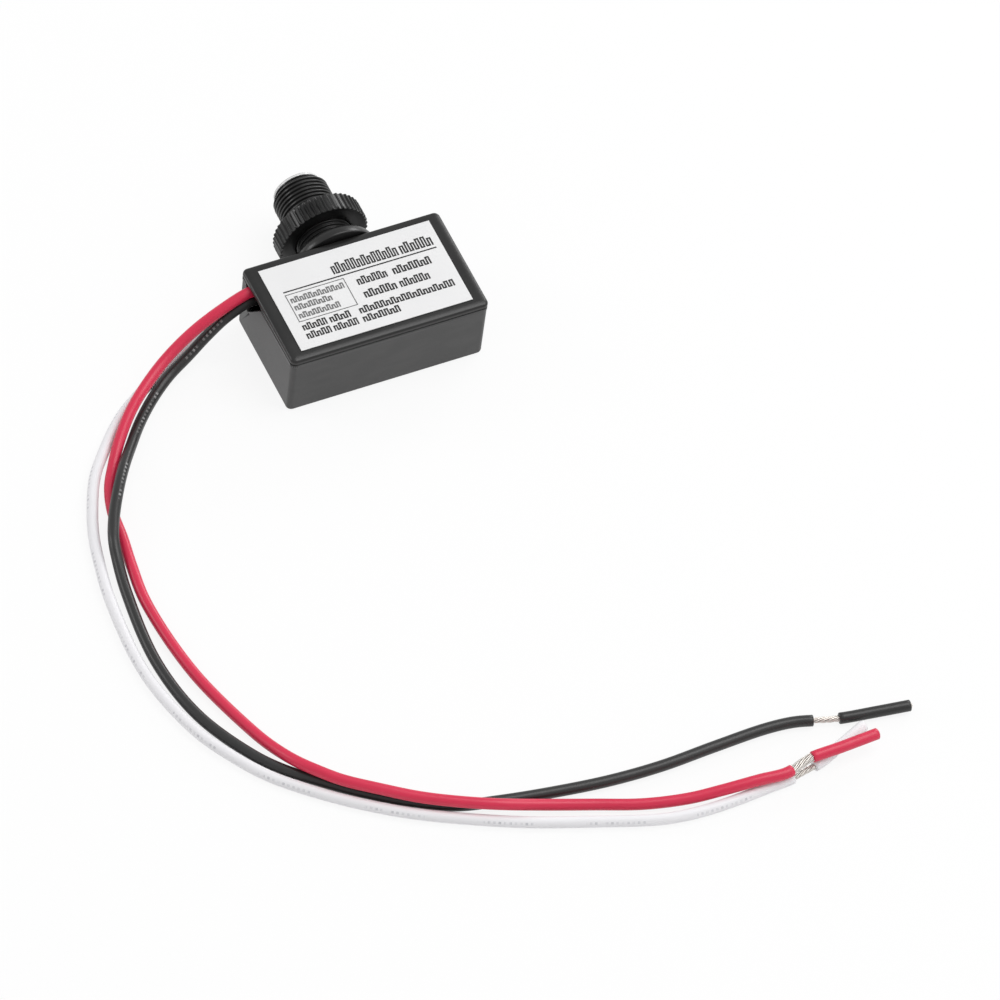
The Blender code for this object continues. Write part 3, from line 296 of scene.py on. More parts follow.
class Term:
    """The value of one socket in a finish, with arithmetic that adds Math nodes."""

    def __init__(self, finish, socket):
        self.finish = finish
        self.socket = socket

    def math(self, operation, *values):
        """The result of a Math node."""
        return self.finish.node("ShaderNodeMath", dict(enumerate(values)), operation=operation)

    def __add__(self, other):
        return self.math("ADD", self, other)

    __radd__ = __add__

    def __sub__(self, other):
        return self.math("SUBTRACT", self, other)

    def __mul__(self, other):
        return self.math("MULTIPLY", self, other)

    def __truediv__(self, other):
        return self.math("DIVIDE", self, other)

    def __lt__(self, other):
        return self.math("LESS_THAN", self, other)

    def __abs__(self):
        return self.math("ABSOLUTE", self)

    def fraction(self):
        """What is left after the whole number."""
        return self.math("FRACT", self)


class Finish:
    """A material: a Principled shader with its plain values, and the nodes that vary it."""

    def __init__(self, name, **plain):
        """A new shader; in a socket's name an underline stands for a space."""
        self.material = bpy.data.materials.new(name)
        self.material.use_nodes = True
        self.tree = self.material.node_tree
        self.shader = self.tree.nodes["Principled BSDF"]
        for socket, value in plain.items():
            self.feed(self.shader.inputs[socket.replace("_", " ")], value)

    def feed(self, socket, value):
        """Link a term to a socket, or set its plain value."""
        if isinstance(value, Term):
            self.tree.links.new(value.socket, socket)
        else:
            socket.default_value = value

    def node(self, kind, inputs=None, output=0, **settings):
        """Add a node: its settings first, then the values or links of its sockets."""
        made = self.tree.nodes.new(kind)
        for setting, value in settings.items():
            setattr(made, setting, value)
        for socket, value in (inputs or {}).items():
            self.feed(made.inputs[socket], value)
        return Term(self, made.outputs[output])

    def place(self):
        """Object coordinates."""
        return self.node("ShaderNodeTexCoord", output="Object")

    def axes(self, vector):
        """The three parts of a vector."""
        parts = self.tree.nodes.new("ShaderNodeSeparateXYZ")
        self.feed(parts.inputs[0], vector)
        return [Term(self, out) for out in parts.outputs]

    def noise(self, size, detail=2.0, stretch=None):
        """Noise from 0 to 1 whose blots are about one size across, stretched where asked."""
        vector = self.place()
        if stretch:
            vector = self.node("ShaderNodeMapping", {"Vector": vector, "Scale": stretch})
        inputs = {"Vector": vector, "Scale": 1.0 / size, "Detail": detail}
        return self.node("ShaderNodeTexNoise", inputs)

    def blend(self, factor, first, second):
        """One colour turning into another."""
        inputs = {0: factor, 6: first, 7: second}
        return self.node("ShaderNodeMix", inputs, output=2, data_type="RGBA")

    def steps(self, value, low, high):
        """0 below one value, 1 above another and smooth between."""
        inputs = {"Value": value, "From Min": low, "From Max": high}
        return self.node("ShaderNodeMapRange", inputs, interpolation_type="SMOOTHSTEP")

    def colour(self, value):
        """Set or link the base colour."""
        self.feed(self.shader.inputs["Base Color"], value)

    def roughness(self, value):
        """Set or link the roughness."""
        self.feed(self.shader.inputs["Roughness"], value)

    def relief(self, height, depth):
        """Bump, with the height from 0 to 1 standing for this depth."""
        inputs = {"Height": height, "Distance": depth, "Strength": 1.0}
        self.feed(self.shader.inputs["Normal"], self.node("ShaderNodeBump", inputs))


def grey(level, tint=(1.0, 1.0, 1.0)):
    """An opaque colour from a linear level and a tint."""
    return (level * tint[0], level * tint[1], level * tint[2], 1.0)


def moulded_plastic(name, dark, light, rough, depth, grain=0.2 * MM, index=PLASTIC_INDEX):
    """Satin moulded plastic between two levels of grey.

    It has a fine grain, broad flow marks in tone and gloss, and a few dust specks.
    """
    finish = Finish(name, IOR=index)
    flow = finish.noise(9 * MM, detail=3.0, stretch=(1.0, 1.0, 2.5))
    fine = finish.noise(grain, detail=3.0)
    dust = finish.steps(finish.noise(0.5 * MM, detail=1.0), low=0.74, high=0.80)
    tone = finish.steps(flow, low=0.35, high=0.7) * 0.8 + dust * 0.2
    finish.colour(finish.blend(tone, grey(dark), grey(light)))
    finish.roughness(rough + flow * 0.08 + fine * 0.06)
    finish.relief(fine, depth)
    return finish.material


def rubber(name):
    """Black rubber, smoother than the case, with a faint bloom."""
    finish = Finish(name, IOR=PLASTIC_INDEX)
    bloom = finish.noise(3 * MM, detail=3.0)
    finish.colour(finish.blend(bloom, grey(0.008), grey(0.016)))
    finish.roughness(0.24 + bloom * 0.12)
    finish.relief(finish.noise(0.3 * MM), 0.01 * MM)
    return finish.material


def label_paper(name):
    """Smooth white label stock with a faint fibre and a few soft shades."""
    finish = Finish(name, IOR=PAPER_INDEX)
    shade = finish.noise(12 * MM)
    fibre = finish.noise(0.25 * MM, detail=3.0, stretch=(1.0, 3.0, 1.0))
    tone = shade * 0.6 + fibre * 0.4
    finish.colour(finish.blend(tone, grey(0.72, tint=(0.99, 0.99, 1.0)), grey(0.80)))
    finish.roughness(0.42 + fibre * 0.12)
    finish.relief(fibre, 0.004 * MM)
    return finish.material


def ink(name, dark, light):
    """Printing ink between two levels of grey, which lies a little unevenly."""
    finish = Finish(name, IOR=PAPER_INDEX)
    patches = finish.noise(0.35 * MM)
    tone = finish.steps(patches, low=0.4, high=0.75)
    finish.colour(finish.blend(tone, grey(dark), grey(light)))
    finish.roughness(0.38 + patches * 0.1)
    return finish.material


def insulation(name, dark, light, rough):
    """Extruded insulation: a long faint streak, tiny ripples and a soft gloss.

    It gives the finish and its two surface coordinates, along and around the lead.
    """
    finish = Finish(name, IOR=PLASTIC_INDEX)
    along, around, _ = finish.axes(finish.node("ShaderNodeUVMap", uv_map="surface"))
    vector = finish.node(
        "ShaderNodeCombineXYZ", {0: along * STREAK_ALONG, 1: around * STREAK_AROUND},
    )
    streak = finish.node("ShaderNodeTexNoise", {"Vector": vector, "Scale": 1.0, "Detail": 2.0})
    ripple = finish.noise(0.6 * MM)
    finish.colour(finish.blend(streak, dark, light))
    finish.roughness(rough + ripple * 0.1)
    finish.relief(streak * 0.5 + ripple * 0.5, 0.02 * MM)
    return finish, along, around


def plain_insulation(name, dark, light, rough):
    """Insulation without dashes."""
    return insulation(name, dark, light, rough)[0].material


def marked_insulation(name, dark, light, rough, ink_colour, side, reach):
    """Insulation with groups of faint plain dashes in a row along one side, as far as they reach.

    A dash shows where the place along lies in a group and in a dash, and the place around lies in
    the row.  A noise along the lead makes the dashes come and go unevenly.
    """
    finish, along, around = insulation(name, dark, light, rough)
    base = finish.shader.inputs["Base Color"].links[0].from_socket
    group = (along / GROUP_PITCH + GROUP_START).fraction() < GROUP_SHARE
    dash = (along / DASH_PITCH).fraction() < DASH_SHARE
    row = abs(around - side) < DASH_HALF_HEIGHT
    vector = finish.node("ShaderNodeCombineXYZ", {0: along / WEAR_LENGTH})
    wear = finish.node("ShaderNodeTexNoise", {"Vector": vector, "Scale": 1.0})
    uneven = finish.steps(wear, low=0.35, high=0.65)
    mark = group * dash * row * uneven * (along < reach) * MARK_STRENGTH
    finish.colour(finish.blend(mark, Term(finish, base), ink_colour))
    return finish.material


def metal(name, colour, rough, grain):
    """Drawn or stamped metal: fine lines along the case and slightly uneven tone."""
    finish = Finish(name, Metallic=1.0)
    lines = finish.noise(grain, detail=3.0, stretch=(0.08, 1.0, 1.0))
    tarnish = finish.noise(4 * MM, detail=3.0)
    tone = tarnish * 0.6 + lines * 0.4
    finish.colour(finish.blend(tone, grey(0.78, tint=colour), grey(1.05, tint=colour)))
    finish.roughness(rough + lines * 0.15)
    finish.relief(lines, 0.004 * MM)
    return finish.material


def window(name):
    """Clear plastic moulded a little cloudy, with a grey rim of painted shade where it is seen edge
    on.

    The painted rim is where the distance from the axis and the place along it are both near the
    edge.
    """
    finish = Finish(name, IOR=WINDOW_INDEX, Transmission_Weight=0.3)
    cloud = finish.noise(2 * MM)
    x, y, z = finish.axes(finish.place())
    up = z - AXIS_Z
    start, full = (LENS_RADIUS - inset for inset in PAINTED_RIM_SHADE_INSETS)
    out = finish.steps(x * x + up * up, low=start**2, high=full**2)
    start, full = (LENS_HIGH.y - LENS_CROWN - depth for depth in PAINTED_RIM_SHADE_DEPTHS)
    rim = out * finish.steps(y, low=start, high=full)
    clear = finish.blend(cloud, grey(0.92), grey(0.97))
    # Painted shade: grey blended into the colour over the rim, standing in for the clear edge seen
    # edge on.
    finish.colour(finish.blend(rim * PAINTED_RIM_SHADE_STRENGTH, clear, grey(0.22)))
    finish.roughness(0.16 + cloud * 0.1)
    return finish.material


def board(name):
    """Pressed brown board with a fibre running along it."""
    finish = Finish(name, IOR=PLASTIC_INDEX)
    fibre = finish.noise(0.8 * MM, detail=4.0, stretch=(0.15, 1.0, 1.0))
    finish.colour(finish.blend(fibre, (0.12, 0.05, 0.02, 1.0), (0.26, 0.13, 0.06, 1.0)))
    finish.roughness(0.5 + fibre * 0.2)
    finish.relief(fibre, 0.02 * MM)
    return finish.material


def cell_face(name):
    """Ceramic disc with the track of a light cell: bands that run across, short of the rim."""
    finish = Finish(name, IOR=CERAMIC_INDEX)
    x, _, z = finish.axes(finish.place())
    up = z - AXIS_Z
    band = (up / TRACK_PITCH + 0.5).fraction()
    track = abs(band - 0.5) < TRACK_HALF_SHARE
    inside = (x * x + up * up) < TRACK_REACH**2
    speck = finish.noise(0.3 * MM)
    ground = finish.blend(speck, (0.62, 0.58, 0.50, 1.0), (0.74, 0.70, 0.62, 1.0))
    finish.colour(finish.blend(track * inside, ground, (0.42, 0.12, 0.03, 1.0)))
    finish.roughness(0.4 + speck * 0.15)
    return finish.material


def ceramic(name):
    """Glazed body of the heater."""
    finish = Finish(name, IOR=CERAMIC_INDEX)
    speck = finish.noise(0.6 * MM, detail=3.0)
    finish.colour(finish.blend(speck, (0.50, 0.47, 0.40, 1.0), (0.66, 0.63, 0.56, 1.0)))
    finish.roughness(0.4 + speck * 0.2)
    finish.relief(speck, 0.02 * MM)
    return finish.material


def floor_finish(name):
    """White ground that shows near white to the camera and in gloss, and takes a soft shadow."""
    finish = Finish(name, Roughness=0.9)
    path = finish.tree.nodes.new("ShaderNodeLightPath")
    camera, gloss, clear = (
        Term(finish, path.outputs[f"Is {ray} Ray"]) for ray in ("Camera", "Glossy", "Transmission")
    )
    seen = camera + gloss + clear
    finish.colour(grey(FLOOR_WHITE))
    glow = finish.node("ShaderNodeEmission", {"Color": grey(1.0), "Strength": 1.0})
    mix = finish.tree.nodes.new("ShaderNodeMixShader")
    finish.feed(mix.inputs[0], seen.math("MINIMUM", seen, 1.0) * FLOOR_GLOW)
    finish.tree.links.new(finish.shader.outputs[0], mix.inputs[1])
    finish.feed(mix.inputs[2], glow)
    output = finish.tree.nodes["Material Output"]
    finish.tree.links.new(mix.outputs[0], output.inputs["Surface"])
    return finish.material


# Making pieces


def add_piece(mesh, material, body, replaced=()):
    """Put a mesh in the scene as a piece with the mesh's name, on a body."""
    piece = bpy.data.objects.new(mesh.name, mesh)
    bpy.context.scene.collection.objects.link(piece)
    mesh.materials.clear()
    mesh.materials.append(material)
    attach(piece, body)
    if replaced:
        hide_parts(*replaced)
    return piece


def tidy_mesh(mesh, smooth_angle, merge=WELD_DISTANCE):
    """Weld seams and poles, point the faces outwards and keep only true edges sharp."""
    bm = bmesh.new()
    bm.from_mesh(mesh)
    bmesh.ops.remove_doubles(bm, verts=bm.verts, dist=merge)
    bmesh.ops.dissolve_degenerate(bm, edges=bm.edges, dist=merge)
    bmesh.ops.recalc_face_normals(bm, faces=bm.faces)
    bm.to_mesh(mesh)
    bm.free()
    mesh.shade_smooth()
    mesh.set_sharp_from_angle(angle=math.radians(smooth_angle))
    return mesh


def mesh_of(name, points, faces):
    """A new mesh from arrays of corners and of four corner numbers a face."""
    mesh = bpy.data.meshes.new(name)
    mesh.from_pydata(points.reshape(-1, 3).tolist(), [], faces.reshape(-1, 4).tolist())
    return mesh


def grid_mesh(name, points, smooth_angle):
    """A closed skin over a grid of points: both directions join their last line to their first.

    A line whose points coincide becomes a pole when the mesh is welded.
    """
    rows, columns = points.shape[:2]
    number = np.arange(rows * columns).reshape(rows, columns)
    down = np.roll(number, -1, axis=0)
    across = np.roll(number, -1, axis=1)
    faces = np.stack([number, down, np.roll(down, -1, axis=1), across], axis=-1)
    return tidy_mesh(mesh_of(name, points, faces), smooth_angle)


def about_neck(radius, angle, y):
    """Points at these distances from the neck's axis and at these angles about it."""
    y = np.broadcast_to(y, radius.shape)
    return np.stack([radius * np.cos(angle), y, AXIS_Z + radius * np.sin(angle)], axis=-1)


def turned_about_neck(name, section, smooth_angle):
    """Turn a closed section of (radius, y) points about the neck's axis.

    Point(angle, i) = axis + radius_i (cos angle X + sin angle Z) + y_i Y.
    """
    radius, along = np.array(section, dtype=float).T
    angle = np.linspace(0, math.tau, TURN_STEPS, endpoint=False)[:, None]
    radius = np.broadcast_to(radius, (TURN_STEPS, len(radius)))
    return grid_mesh(name, about_neck(radius, angle, along), smooth_angle)


def quarter_arc(centre, radii, start_deg, end_deg, steps):
    """Points of an elliptic arc in a section, as (radius, y) pairs.

    Point(angle) = centre + (first radius × cos angle, second radius × sin angle).
    """
    angle = np.radians(np.linspace(start_deg, end_deg, steps))
    along = centre[1] + radii[1] * np.sin(angle)
    return np.stack([centre[0] + radii[0] * np.cos(angle), along], axis=1)


def make_case():
    """Welded copy of the cup, whose rounded edges shade smoothly, in a black set lighter as painted
    light.
    """
    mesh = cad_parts["housing"].data.copy()
    mesh.name = "case_cup"
    tidy_mesh(mesh, smooth_angle=32, merge=CUP_WELD)
    # Painted light: the cup's black is set several times lighter than the cover and the thread
    # moulded on it, for the light its walls catch from the bright ground.
    black = moulded_plastic(
        "cup plastic lightened as painted light", dark=0.038, light=0.052, rough=0.36, depth=0.012 * MM, grain=0.16 * MM,
    )
    cup = add_piece(mesh, black, "case", ["housing"])
    even = cup.modifiers.new("even shading of flat walls", "WEIGHTED_NORMAL")
    even.keep_sharp = True


def make_cover():
    """Cover: a slab whose top falls away softly to its rounded rim, and the two ribs below it.

    Point(i, s) lies on a rounded rectangle drawn in by inset_i, whose corners keep the radius
    corner - inset.  Within the rim the height sinks by round × (1 - sqrt(1 - edge²)), with edge =
    1 - inset / round, and out to the end of the band by a further fall × (1 - inset / band)².
    """
    low, high = CASE_LOW, CASE_HIGH
    middle = (low + high) / 2
    foot = high.z - COVER_THICKNESS
    inset = np.concatenate([
        COVER_ROUND * (1 - np.cos(np.linspace(0, math.pi / 2, COVER_ROUND_STEPS))),
        np.linspace(COVER_ROUND, COVER_BAND, COVER_BAND_STEPS)[1:],
    ])
    edge = np.clip(1 - inset / COVER_ROUND, 0, 1)
    fall = COVER_FALL * (1 - inset / COVER_BAND) ** 2
    height = high.z - COVER_ROUND * (1 - np.sqrt(1 - edge**2)) - fall
    inset = np.concatenate([[COVER_FOOT_EDGE, 0.0], inset])[:, None, None]
    height = np.concatenate([[foot, foot + COVER_FOOT_EDGE], height])[:, None, None]
    quarter = np.linspace(0, math.pi / 2, CORNER_STEPS)
    turn = np.radians(np.arange(4) * 90)[:, None] + quarter
    radius = np.maximum(CORNER_RADIUS - inset, LEAST_CORNER)
    half_x = (high.x - low.x) / 2 - inset - radius
    half_y = (high.y - low.y) / 2 - inset - radius
    side_x = np.array([1, -1, -1, 1])[:, None]
    side_y = np.array([1, 1, -1, -1])[:, None]
    x = middle.x + side_x * half_x + radius * np.cos(turn)
    y = middle.y + side_y * half_y + radius * np.sin(turn)
    points = np.stack([x, y, np.broadcast_to(height, x.shape)], axis=-1)
    points = points.reshape(len(inset), -1, 3)
    number = np.arange(points[..., 0].size).reshape(points.shape[:2])
    ahead = np.roll(number, -1, axis=1)
    sides = np.stack([number[:-1], ahead[:-1], ahead[1:], number[1:]], axis=-1)
    faces = sides.reshape(-1, 4).tolist() + [number[0, ::-1].tolist(), number[-1].tolist()]
    mesh = bpy.data.meshes.new("case_cover")
    mesh.from_pydata(points.reshape(-1, 3).tolist(), [], faces)
    tidy_mesh(mesh, smooth_angle=40)
    black = moulded_plastic(
        "cover plastic", dark=0.008, light=0.014, rough=0.26, depth=0.012 * MM,
    )
    add_piece(mesh, black, "case", ["cover"])
    reach = (high.y - low.y) / 2 - COVER_RIB_INSET
    size = np.array([COVER_RIB_LENGTH, COVER_RIB_WIDTH, COVER_RIB_HEIGHT])
    rib_low = np.array([
        (-COVER_RIB_LENGTH / 2, y, foot - COVER_RIB_HEIGHT)
        for y in (middle.y - reach, middle.y + reach - COVER_RIB_WIDTH)
    ])
    add_piece(slabs("cover_ribs", rib_low, rib_low + size), black, "case")


def smooth_step(share):
    """0 below 0, 1 above 1 and 3 share² - 2 share³ between."""
    share = np.clip(share, 0.0, 1.0)
    return share * share * (3 - 2 * share)


def ridge_height(phase):
    """Share of the thread's depth at a place in turns: flat root, smooth flanks, flat crest."""
    flank = 1.0 - 2.0 * np.abs(phase - np.floor(phase) - 0.5)
    return smooth_step((flank - THREAD_FLANK_START) / THREAD_FLANK)


def make_thread():
    """The neck's thread as one skin whose rows follow the helix.

    Point(angle, t) lies at y = t + pitch × angle / full turn, kept between the thread's ends, at
    radius root + depth × ridge(t / pitch) × fade(y).  Two columns inside the neck close the skin.
    """
    low = BACK_Y + SEAT_GAP / 2
    high = NECK_END - NECK_CHAMFER
    turns = int((high - low) / THREAD_PITCH) + 2
    t = low + THREAD_PITCH * (np.arange(turns * THREAD_STEPS + 1) / THREAD_STEPS - 1)
    angle = np.linspace(0, math.tau, TURN_STEPS + 1)[:, None]
    y = np.clip(t + THREAD_PITCH * angle / math.tau, low, high)
    fade = np.clip(np.minimum(y - low, high - y) / THREAD_FADE, 0, 1)
    phase = np.broadcast_to(t / THREAD_PITCH, y.shape)
    radius = THREAD_ROOT + (THREAD_CREST - THREAD_ROOT) * ridge_height(phase) * fade
    inner = THREAD_ROOT - SEAT_GAP
    radius = np.hstack([np.full_like(angle, inner), radius, np.full_like(angle, inner)])
    y = np.hstack([np.full_like(angle, low), y, np.full_like(angle, high)])
    number = np.arange(radius.size).reshape(radius.shape)
    across = np.roll(number, -1, axis=1)
    faces = np.stack([number[:-1], number[1:], across[1:], across[:-1]], axis=-1)
    mesh = mesh_of("neck_thread", about_neck(radius, angle, y), faces)
    tidy_mesh(mesh, smooth_angle=50, merge=THREAD_WELD)
    black = moulded_plastic(
        "thread plastic", dark=0.006, light=0.012, rough=0.24, depth=0.005 * MM, index=1.48,
    )
    add_piece(mesh, black, "case")


def make_nut():
    """Lock nut: a ring whose outer side carries ribs.

    Radius(angle, i) = radius_i + rib height × weight_i × rib(angle), with rib 1 on a narrow crest
    and 0 in the wide valley; the weight falls on the rounded rims and is 0 on the faces and bore.
    Each row of the half section is a radius, a distance from the ring's face and a weight.
    """
    crest = (NUT_HIGH.z - NUT_LOW.z) / 2
    valley = crest - NUT_RIB_HEIGHT
    low, high = NUT_LOW.y, NUT_HIGH.y
    face = valley - NUT_EDGE
    half = np.array([
        (NUT_BORE, 2 * NUT_EDGE, 0.0), (NUT_BORE + NUT_EDGE, 0.5 * NUT_EDGE, 0.0),
        (NUT_BORE + 2 * NUT_EDGE, 0.0, 0.0), (face, 0.0, 0.0), (valley - 0.3 * NUT_EDGE, 0.0, 0.25),
        (valley, 0.35 * NUT_EDGE, 0.6), (valley, NUT_EDGE, 0.95), (valley, 2 * NUT_EDGE, 1.0),
    ])
    near = half + [0, low, 0]
    far = (half * [1, -1, 1] + [0, high, 0])[::-1]
    base, along, weight = np.vstack([near, [(valley, (low + high) / 2, 1.0)], far]).T
    angle = np.linspace(0, math.tau, NUT_RIBS * NUT_RIB_STEPS, endpoint=False)[:, None]
    phase = np.abs((angle * NUT_RIBS / math.tau + 0.5) % 1.0 - 0.5)
    rib = smooth_step((NUT_RIB_FLANK_END - phase) / NUT_RIB_FLANK)
    radius = base + weight * NUT_RIB_HEIGHT * rib
    mesh = grid_mesh("knurled_nut", about_neck(radius, angle, along), smooth_angle=38)
    black = moulded_plastic(
        "nut plastic", dark=0.006, light=0.012, rough=0.24, depth=0.004 * MM, index=1.45,
    )
    add_piece(mesh, black, "nut", ["lock_nut"])


def make_gasket():
    """Domed rubber ring: a short upright rim, an elliptic dome and a thin lip at the thread."""
    foot, top = GASKET_LOW.y, GASKET_HIGH.y
    radius = (GASKET_HIGH.z - GASKET_LOW.z) / 2
    lip = GASKET_BORE + GASKET_LIP
    shoulder = foot + GASKET_RIM
    dome = quarter_arc((lip, shoulder), (radius - lip, top - shoulder), 0, 90, DOME_STEPS)
    edge = GASKET_FOOT_EDGE
    edge_centre = (radius - edge, foot + edge)
    foot_edge = quarter_arc(edge_centre, (edge, edge), -90, 0, FOOT_EDGE_STEPS)
    section = np.vstack([
        [(GASKET_BORE, foot), (GASKET_BORE + GASKET_FOOT_RING, foot)], foot_edge, dome,
        [(GASKET_BORE + GASKET_CHAMFER, top), (GASKET_BORE, top - GASKET_CHAMFER)],
    ])
    mesh = turned_about_neck("dome_gasket", section, smooth_angle=60)
    add_piece(mesh, rubber("gasket rubber"), "case", ["gasket"])


def make_window():
    """Window: a domed disc on the neck's end, the spigot behind it and the dark seal at its foot.

    The dome's Point(share) lies share × radius out and at top - crown × share² along the axis.
    """
    seat, top = NECK_END + SEAT_GAP, LENS_HIGH.y
    foot = seat + SEAL_HEIGHT
    edge = LENS_EDGE
    share = np.linspace(0.0, 1.0, CROWN_STEPS)
    crown = np.stack([share * (LENS_RADIUS - edge), top - LENS_CROWN * share**2], axis=1)
    rim_centre = (LENS_RADIUS - edge, top - LENS_CROWN - edge)
    rim = quarter_arc(rim_centre, (edge, edge), 90, 0, LENS_EDGE_STEPS)
    back = [
        (LENS_RADIUS, foot), (SPIGOT_RADIUS, foot),
        (SPIGOT_RADIUS, NECK_END - SPIGOT_LENGTH), (0.0, NECK_END - SPIGOT_LENGTH),
    ]
    section = np.vstack([crown, rim, back])
    mesh = turned_about_neck("neck_window", section, smooth_angle=45)
    add_piece(mesh, window("window plastic with painted edge shade"), "case", ["lens"])
    inner = SPIGOT_RADIUS + edge / 2
    section = [(inner, seat), (LENS_RADIUS, seat), (LENS_RADIUS, foot), (inner, foot)]
    seal = turned_about_neck("window_seal", section, smooth_angle=45)
    black = moulded_plastic("seal plastic", dark=0.008, light=0.014, rough=0.3, depth=0.008 * MM)
    add_piece(seal, black, "case")


def slabs(name, low, high):
    """Flat closed blocks between pairs of corners, all in one mesh.

    Corner(k, bits) takes each of its three numbers from the low or high corner of block k.
    """
    bits = np.array([(i & 1, i >> 1 & 1, i >> 2 & 1) for i in range(8)])
    points = np.where(bits[None], high[:, None], low[:, None])
    corners = np.array([
        (0, 2, 3, 1), (4, 5, 7, 6), (0, 1, 5, 4), (2, 6, 7, 3), (0, 4, 6, 2), (1, 3, 7, 5),
    ])
    return mesh_of(name, points, corners[None] + 8 * np.arange(len(low))[:, None, None])


def print_strokes(runs):
    """Edges in label millimetres (left, right, upper, lower) of every run's strokes and ties.

    Stroke k starts at start + k × pitch and is a share of the pitch wide.  Strokes go in pairs; a
    pair whose number times the golden share has a low fraction is shorter.  Ties join each stroke
    to the next, at the top within a pair and at the foot between pairs, so a run is one meander.
    """
    bars = []
    for start, end, upper, lower, count in runs:
        k = np.arange(count)
        pitch = (end - start) / (count - 1 + STROKE_SHARE)
        left = start + pitch * k
        right = left + STROKE_SHARE * pitch
        short = (k // 2 * GOLDEN) % 1.0 < LOW_SHARE
        top = upper + LOW_STROKE * (lower - upper) * short
        bars.append(np.stack([left, right, top, np.full_like(left, lower)], axis=1))
        tie_top = np.where(k % 2 == 0, top, lower - TIE_HEIGHT)[:-1]
        bars.append(np.stack([right[:-1], left[1:], tie_top, tie_top + TIE_HEIGHT], axis=1))
    return np.vstack(bars)


def print_mesh(name, bars):
    """Printed marks on the label from (left, right, upper, lower) edges in label millimetres."""
    left, right, upper, lower = (bars * MM).T
    foot = np.full_like(left, LABEL_HIGH.z)
    low = np.stack([LEFT_X + left, BACK_Y - lower, foot], axis=1)
    high = np.stack([LEFT_X + right, BACK_Y - upper, foot + PRINT_THICKNESS], axis=1)
    return slabs(name, low, high)


def make_label():
    """Paper, and plain meander strokes, a rule and a frame in place of its print."""
    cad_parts["label"].data.materials[0] = label_paper("label stock")
    left, right, upper, lower = FRAME_BOX
    box = np.array([
        (left, right, upper, upper + FRAME_LINE),
        (left, right, lower - FRAME_LINE, lower),
        (left, left + FRAME_LINE, upper + FRAME_LINE, lower - FRAME_LINE),
        (right - FRAME_LINE, right, upper + FRAME_LINE, lower - FRAME_LINE),
    ])
    black = ink("black ink", dark=0.012, light=0.035)
    faint = ink("grey ink", dark=0.13, light=0.24)
    bold = np.vstack([print_strokes(BOLD_RUNS), [RULE]])
    add_piece(print_mesh("label_strokes", bold), black, "case")
    grey_marks = np.vstack([print_strokes(FAINT_RUNS), box])
    add_piece(print_mesh("label_grey_strokes", grey_marks), faint, "case")


# Leads


def smooth_route(points, step):
    """Read points from a smooth curve through the route's own points, about one step apart.

    Each stretch is a Catmull-Rom cubic with centripetal spacing: knots grow by the square root of
    the distance between points.
    """
    route = np.array(points, dtype=float)
    knots = np.vstack([2 * route[0] - route[1], route, 2 * route[-1] - route[-2]])
    gaps = np.sqrt(np.linalg.norm(np.diff(knots, axis=0), axis=1))
    times = np.concatenate([[0.0], np.cumsum(gaps)])
    a, b, c, d = (knots[i : len(knots) - 3 + i][:, None] for i in range(4))
    t0, t1, t2, t3 = (times[i : len(times) - 3 + i][:, None, None] for i in range(4))
    share = np.linspace(0.0, 1.0, ROUTE_SAMPLES, endpoint=False)[None, :, None]
    t = t1 + (t2 - t1) * share
    a1 = (t1 - t) / (t1 - t0) * a + (t - t0) / (t1 - t0) * b
    a2 = (t2 - t) / (t2 - t1) * b + (t - t1) / (t2 - t1) * c
    a3 = (t3 - t) / (t3 - t2) * c + (t - t2) / (t3 - t2) * d
    b1 = (t2 - t) / (t2 - t0) * a1 + (t - t0) / (t2 - t0) * a2
    b2 = (t3 - t) / (t3 - t1) * a2 + (t - t1) / (t3 - t1) * a3
    dense = ((t2 - t) / (t2 - t1) * b1 + (t - t1) / (t2 - t1) * b2).reshape(-1, 3)
    dense = np.vstack([dense, route[-1]])
    along = length_along(dense)
    marks = np.linspace(0.0, along[-1], max(2, int(round(along[-1] / step)) + 1))
    return np.stack([np.interp(marks, along, axis) for axis in dense.T], axis=1)


def length_along(line):
    """Distance of each point of a line from its start."""
    return np.concatenate([[0.0], np.cumsum(np.linalg.norm(np.diff(line, axis=0), axis=1))])


def stretch(line, start, end, step):
    """The part of a line between two distances, with points about one step apart."""
    along = length_along(line)
    marks = np.linspace(start, end, max(2, int(round((end - start) / step)) + 1))
    return np.stack([np.interp(marks, along, axis) for axis in line.T], axis=1)


def directions(lines):
    """Unit vectors ahead, beside and above at each point of each line."""
    ahead = np.gradient(lines, axis=-2)
    ahead /= np.linalg.norm(ahead, axis=-1, keepdims=True)
    beside = np.cross(ahead, UP)
    beside /= np.linalg.norm(beside, axis=-1, keepdims=True)
    return ahead, beside, np.cross(beside, ahead)


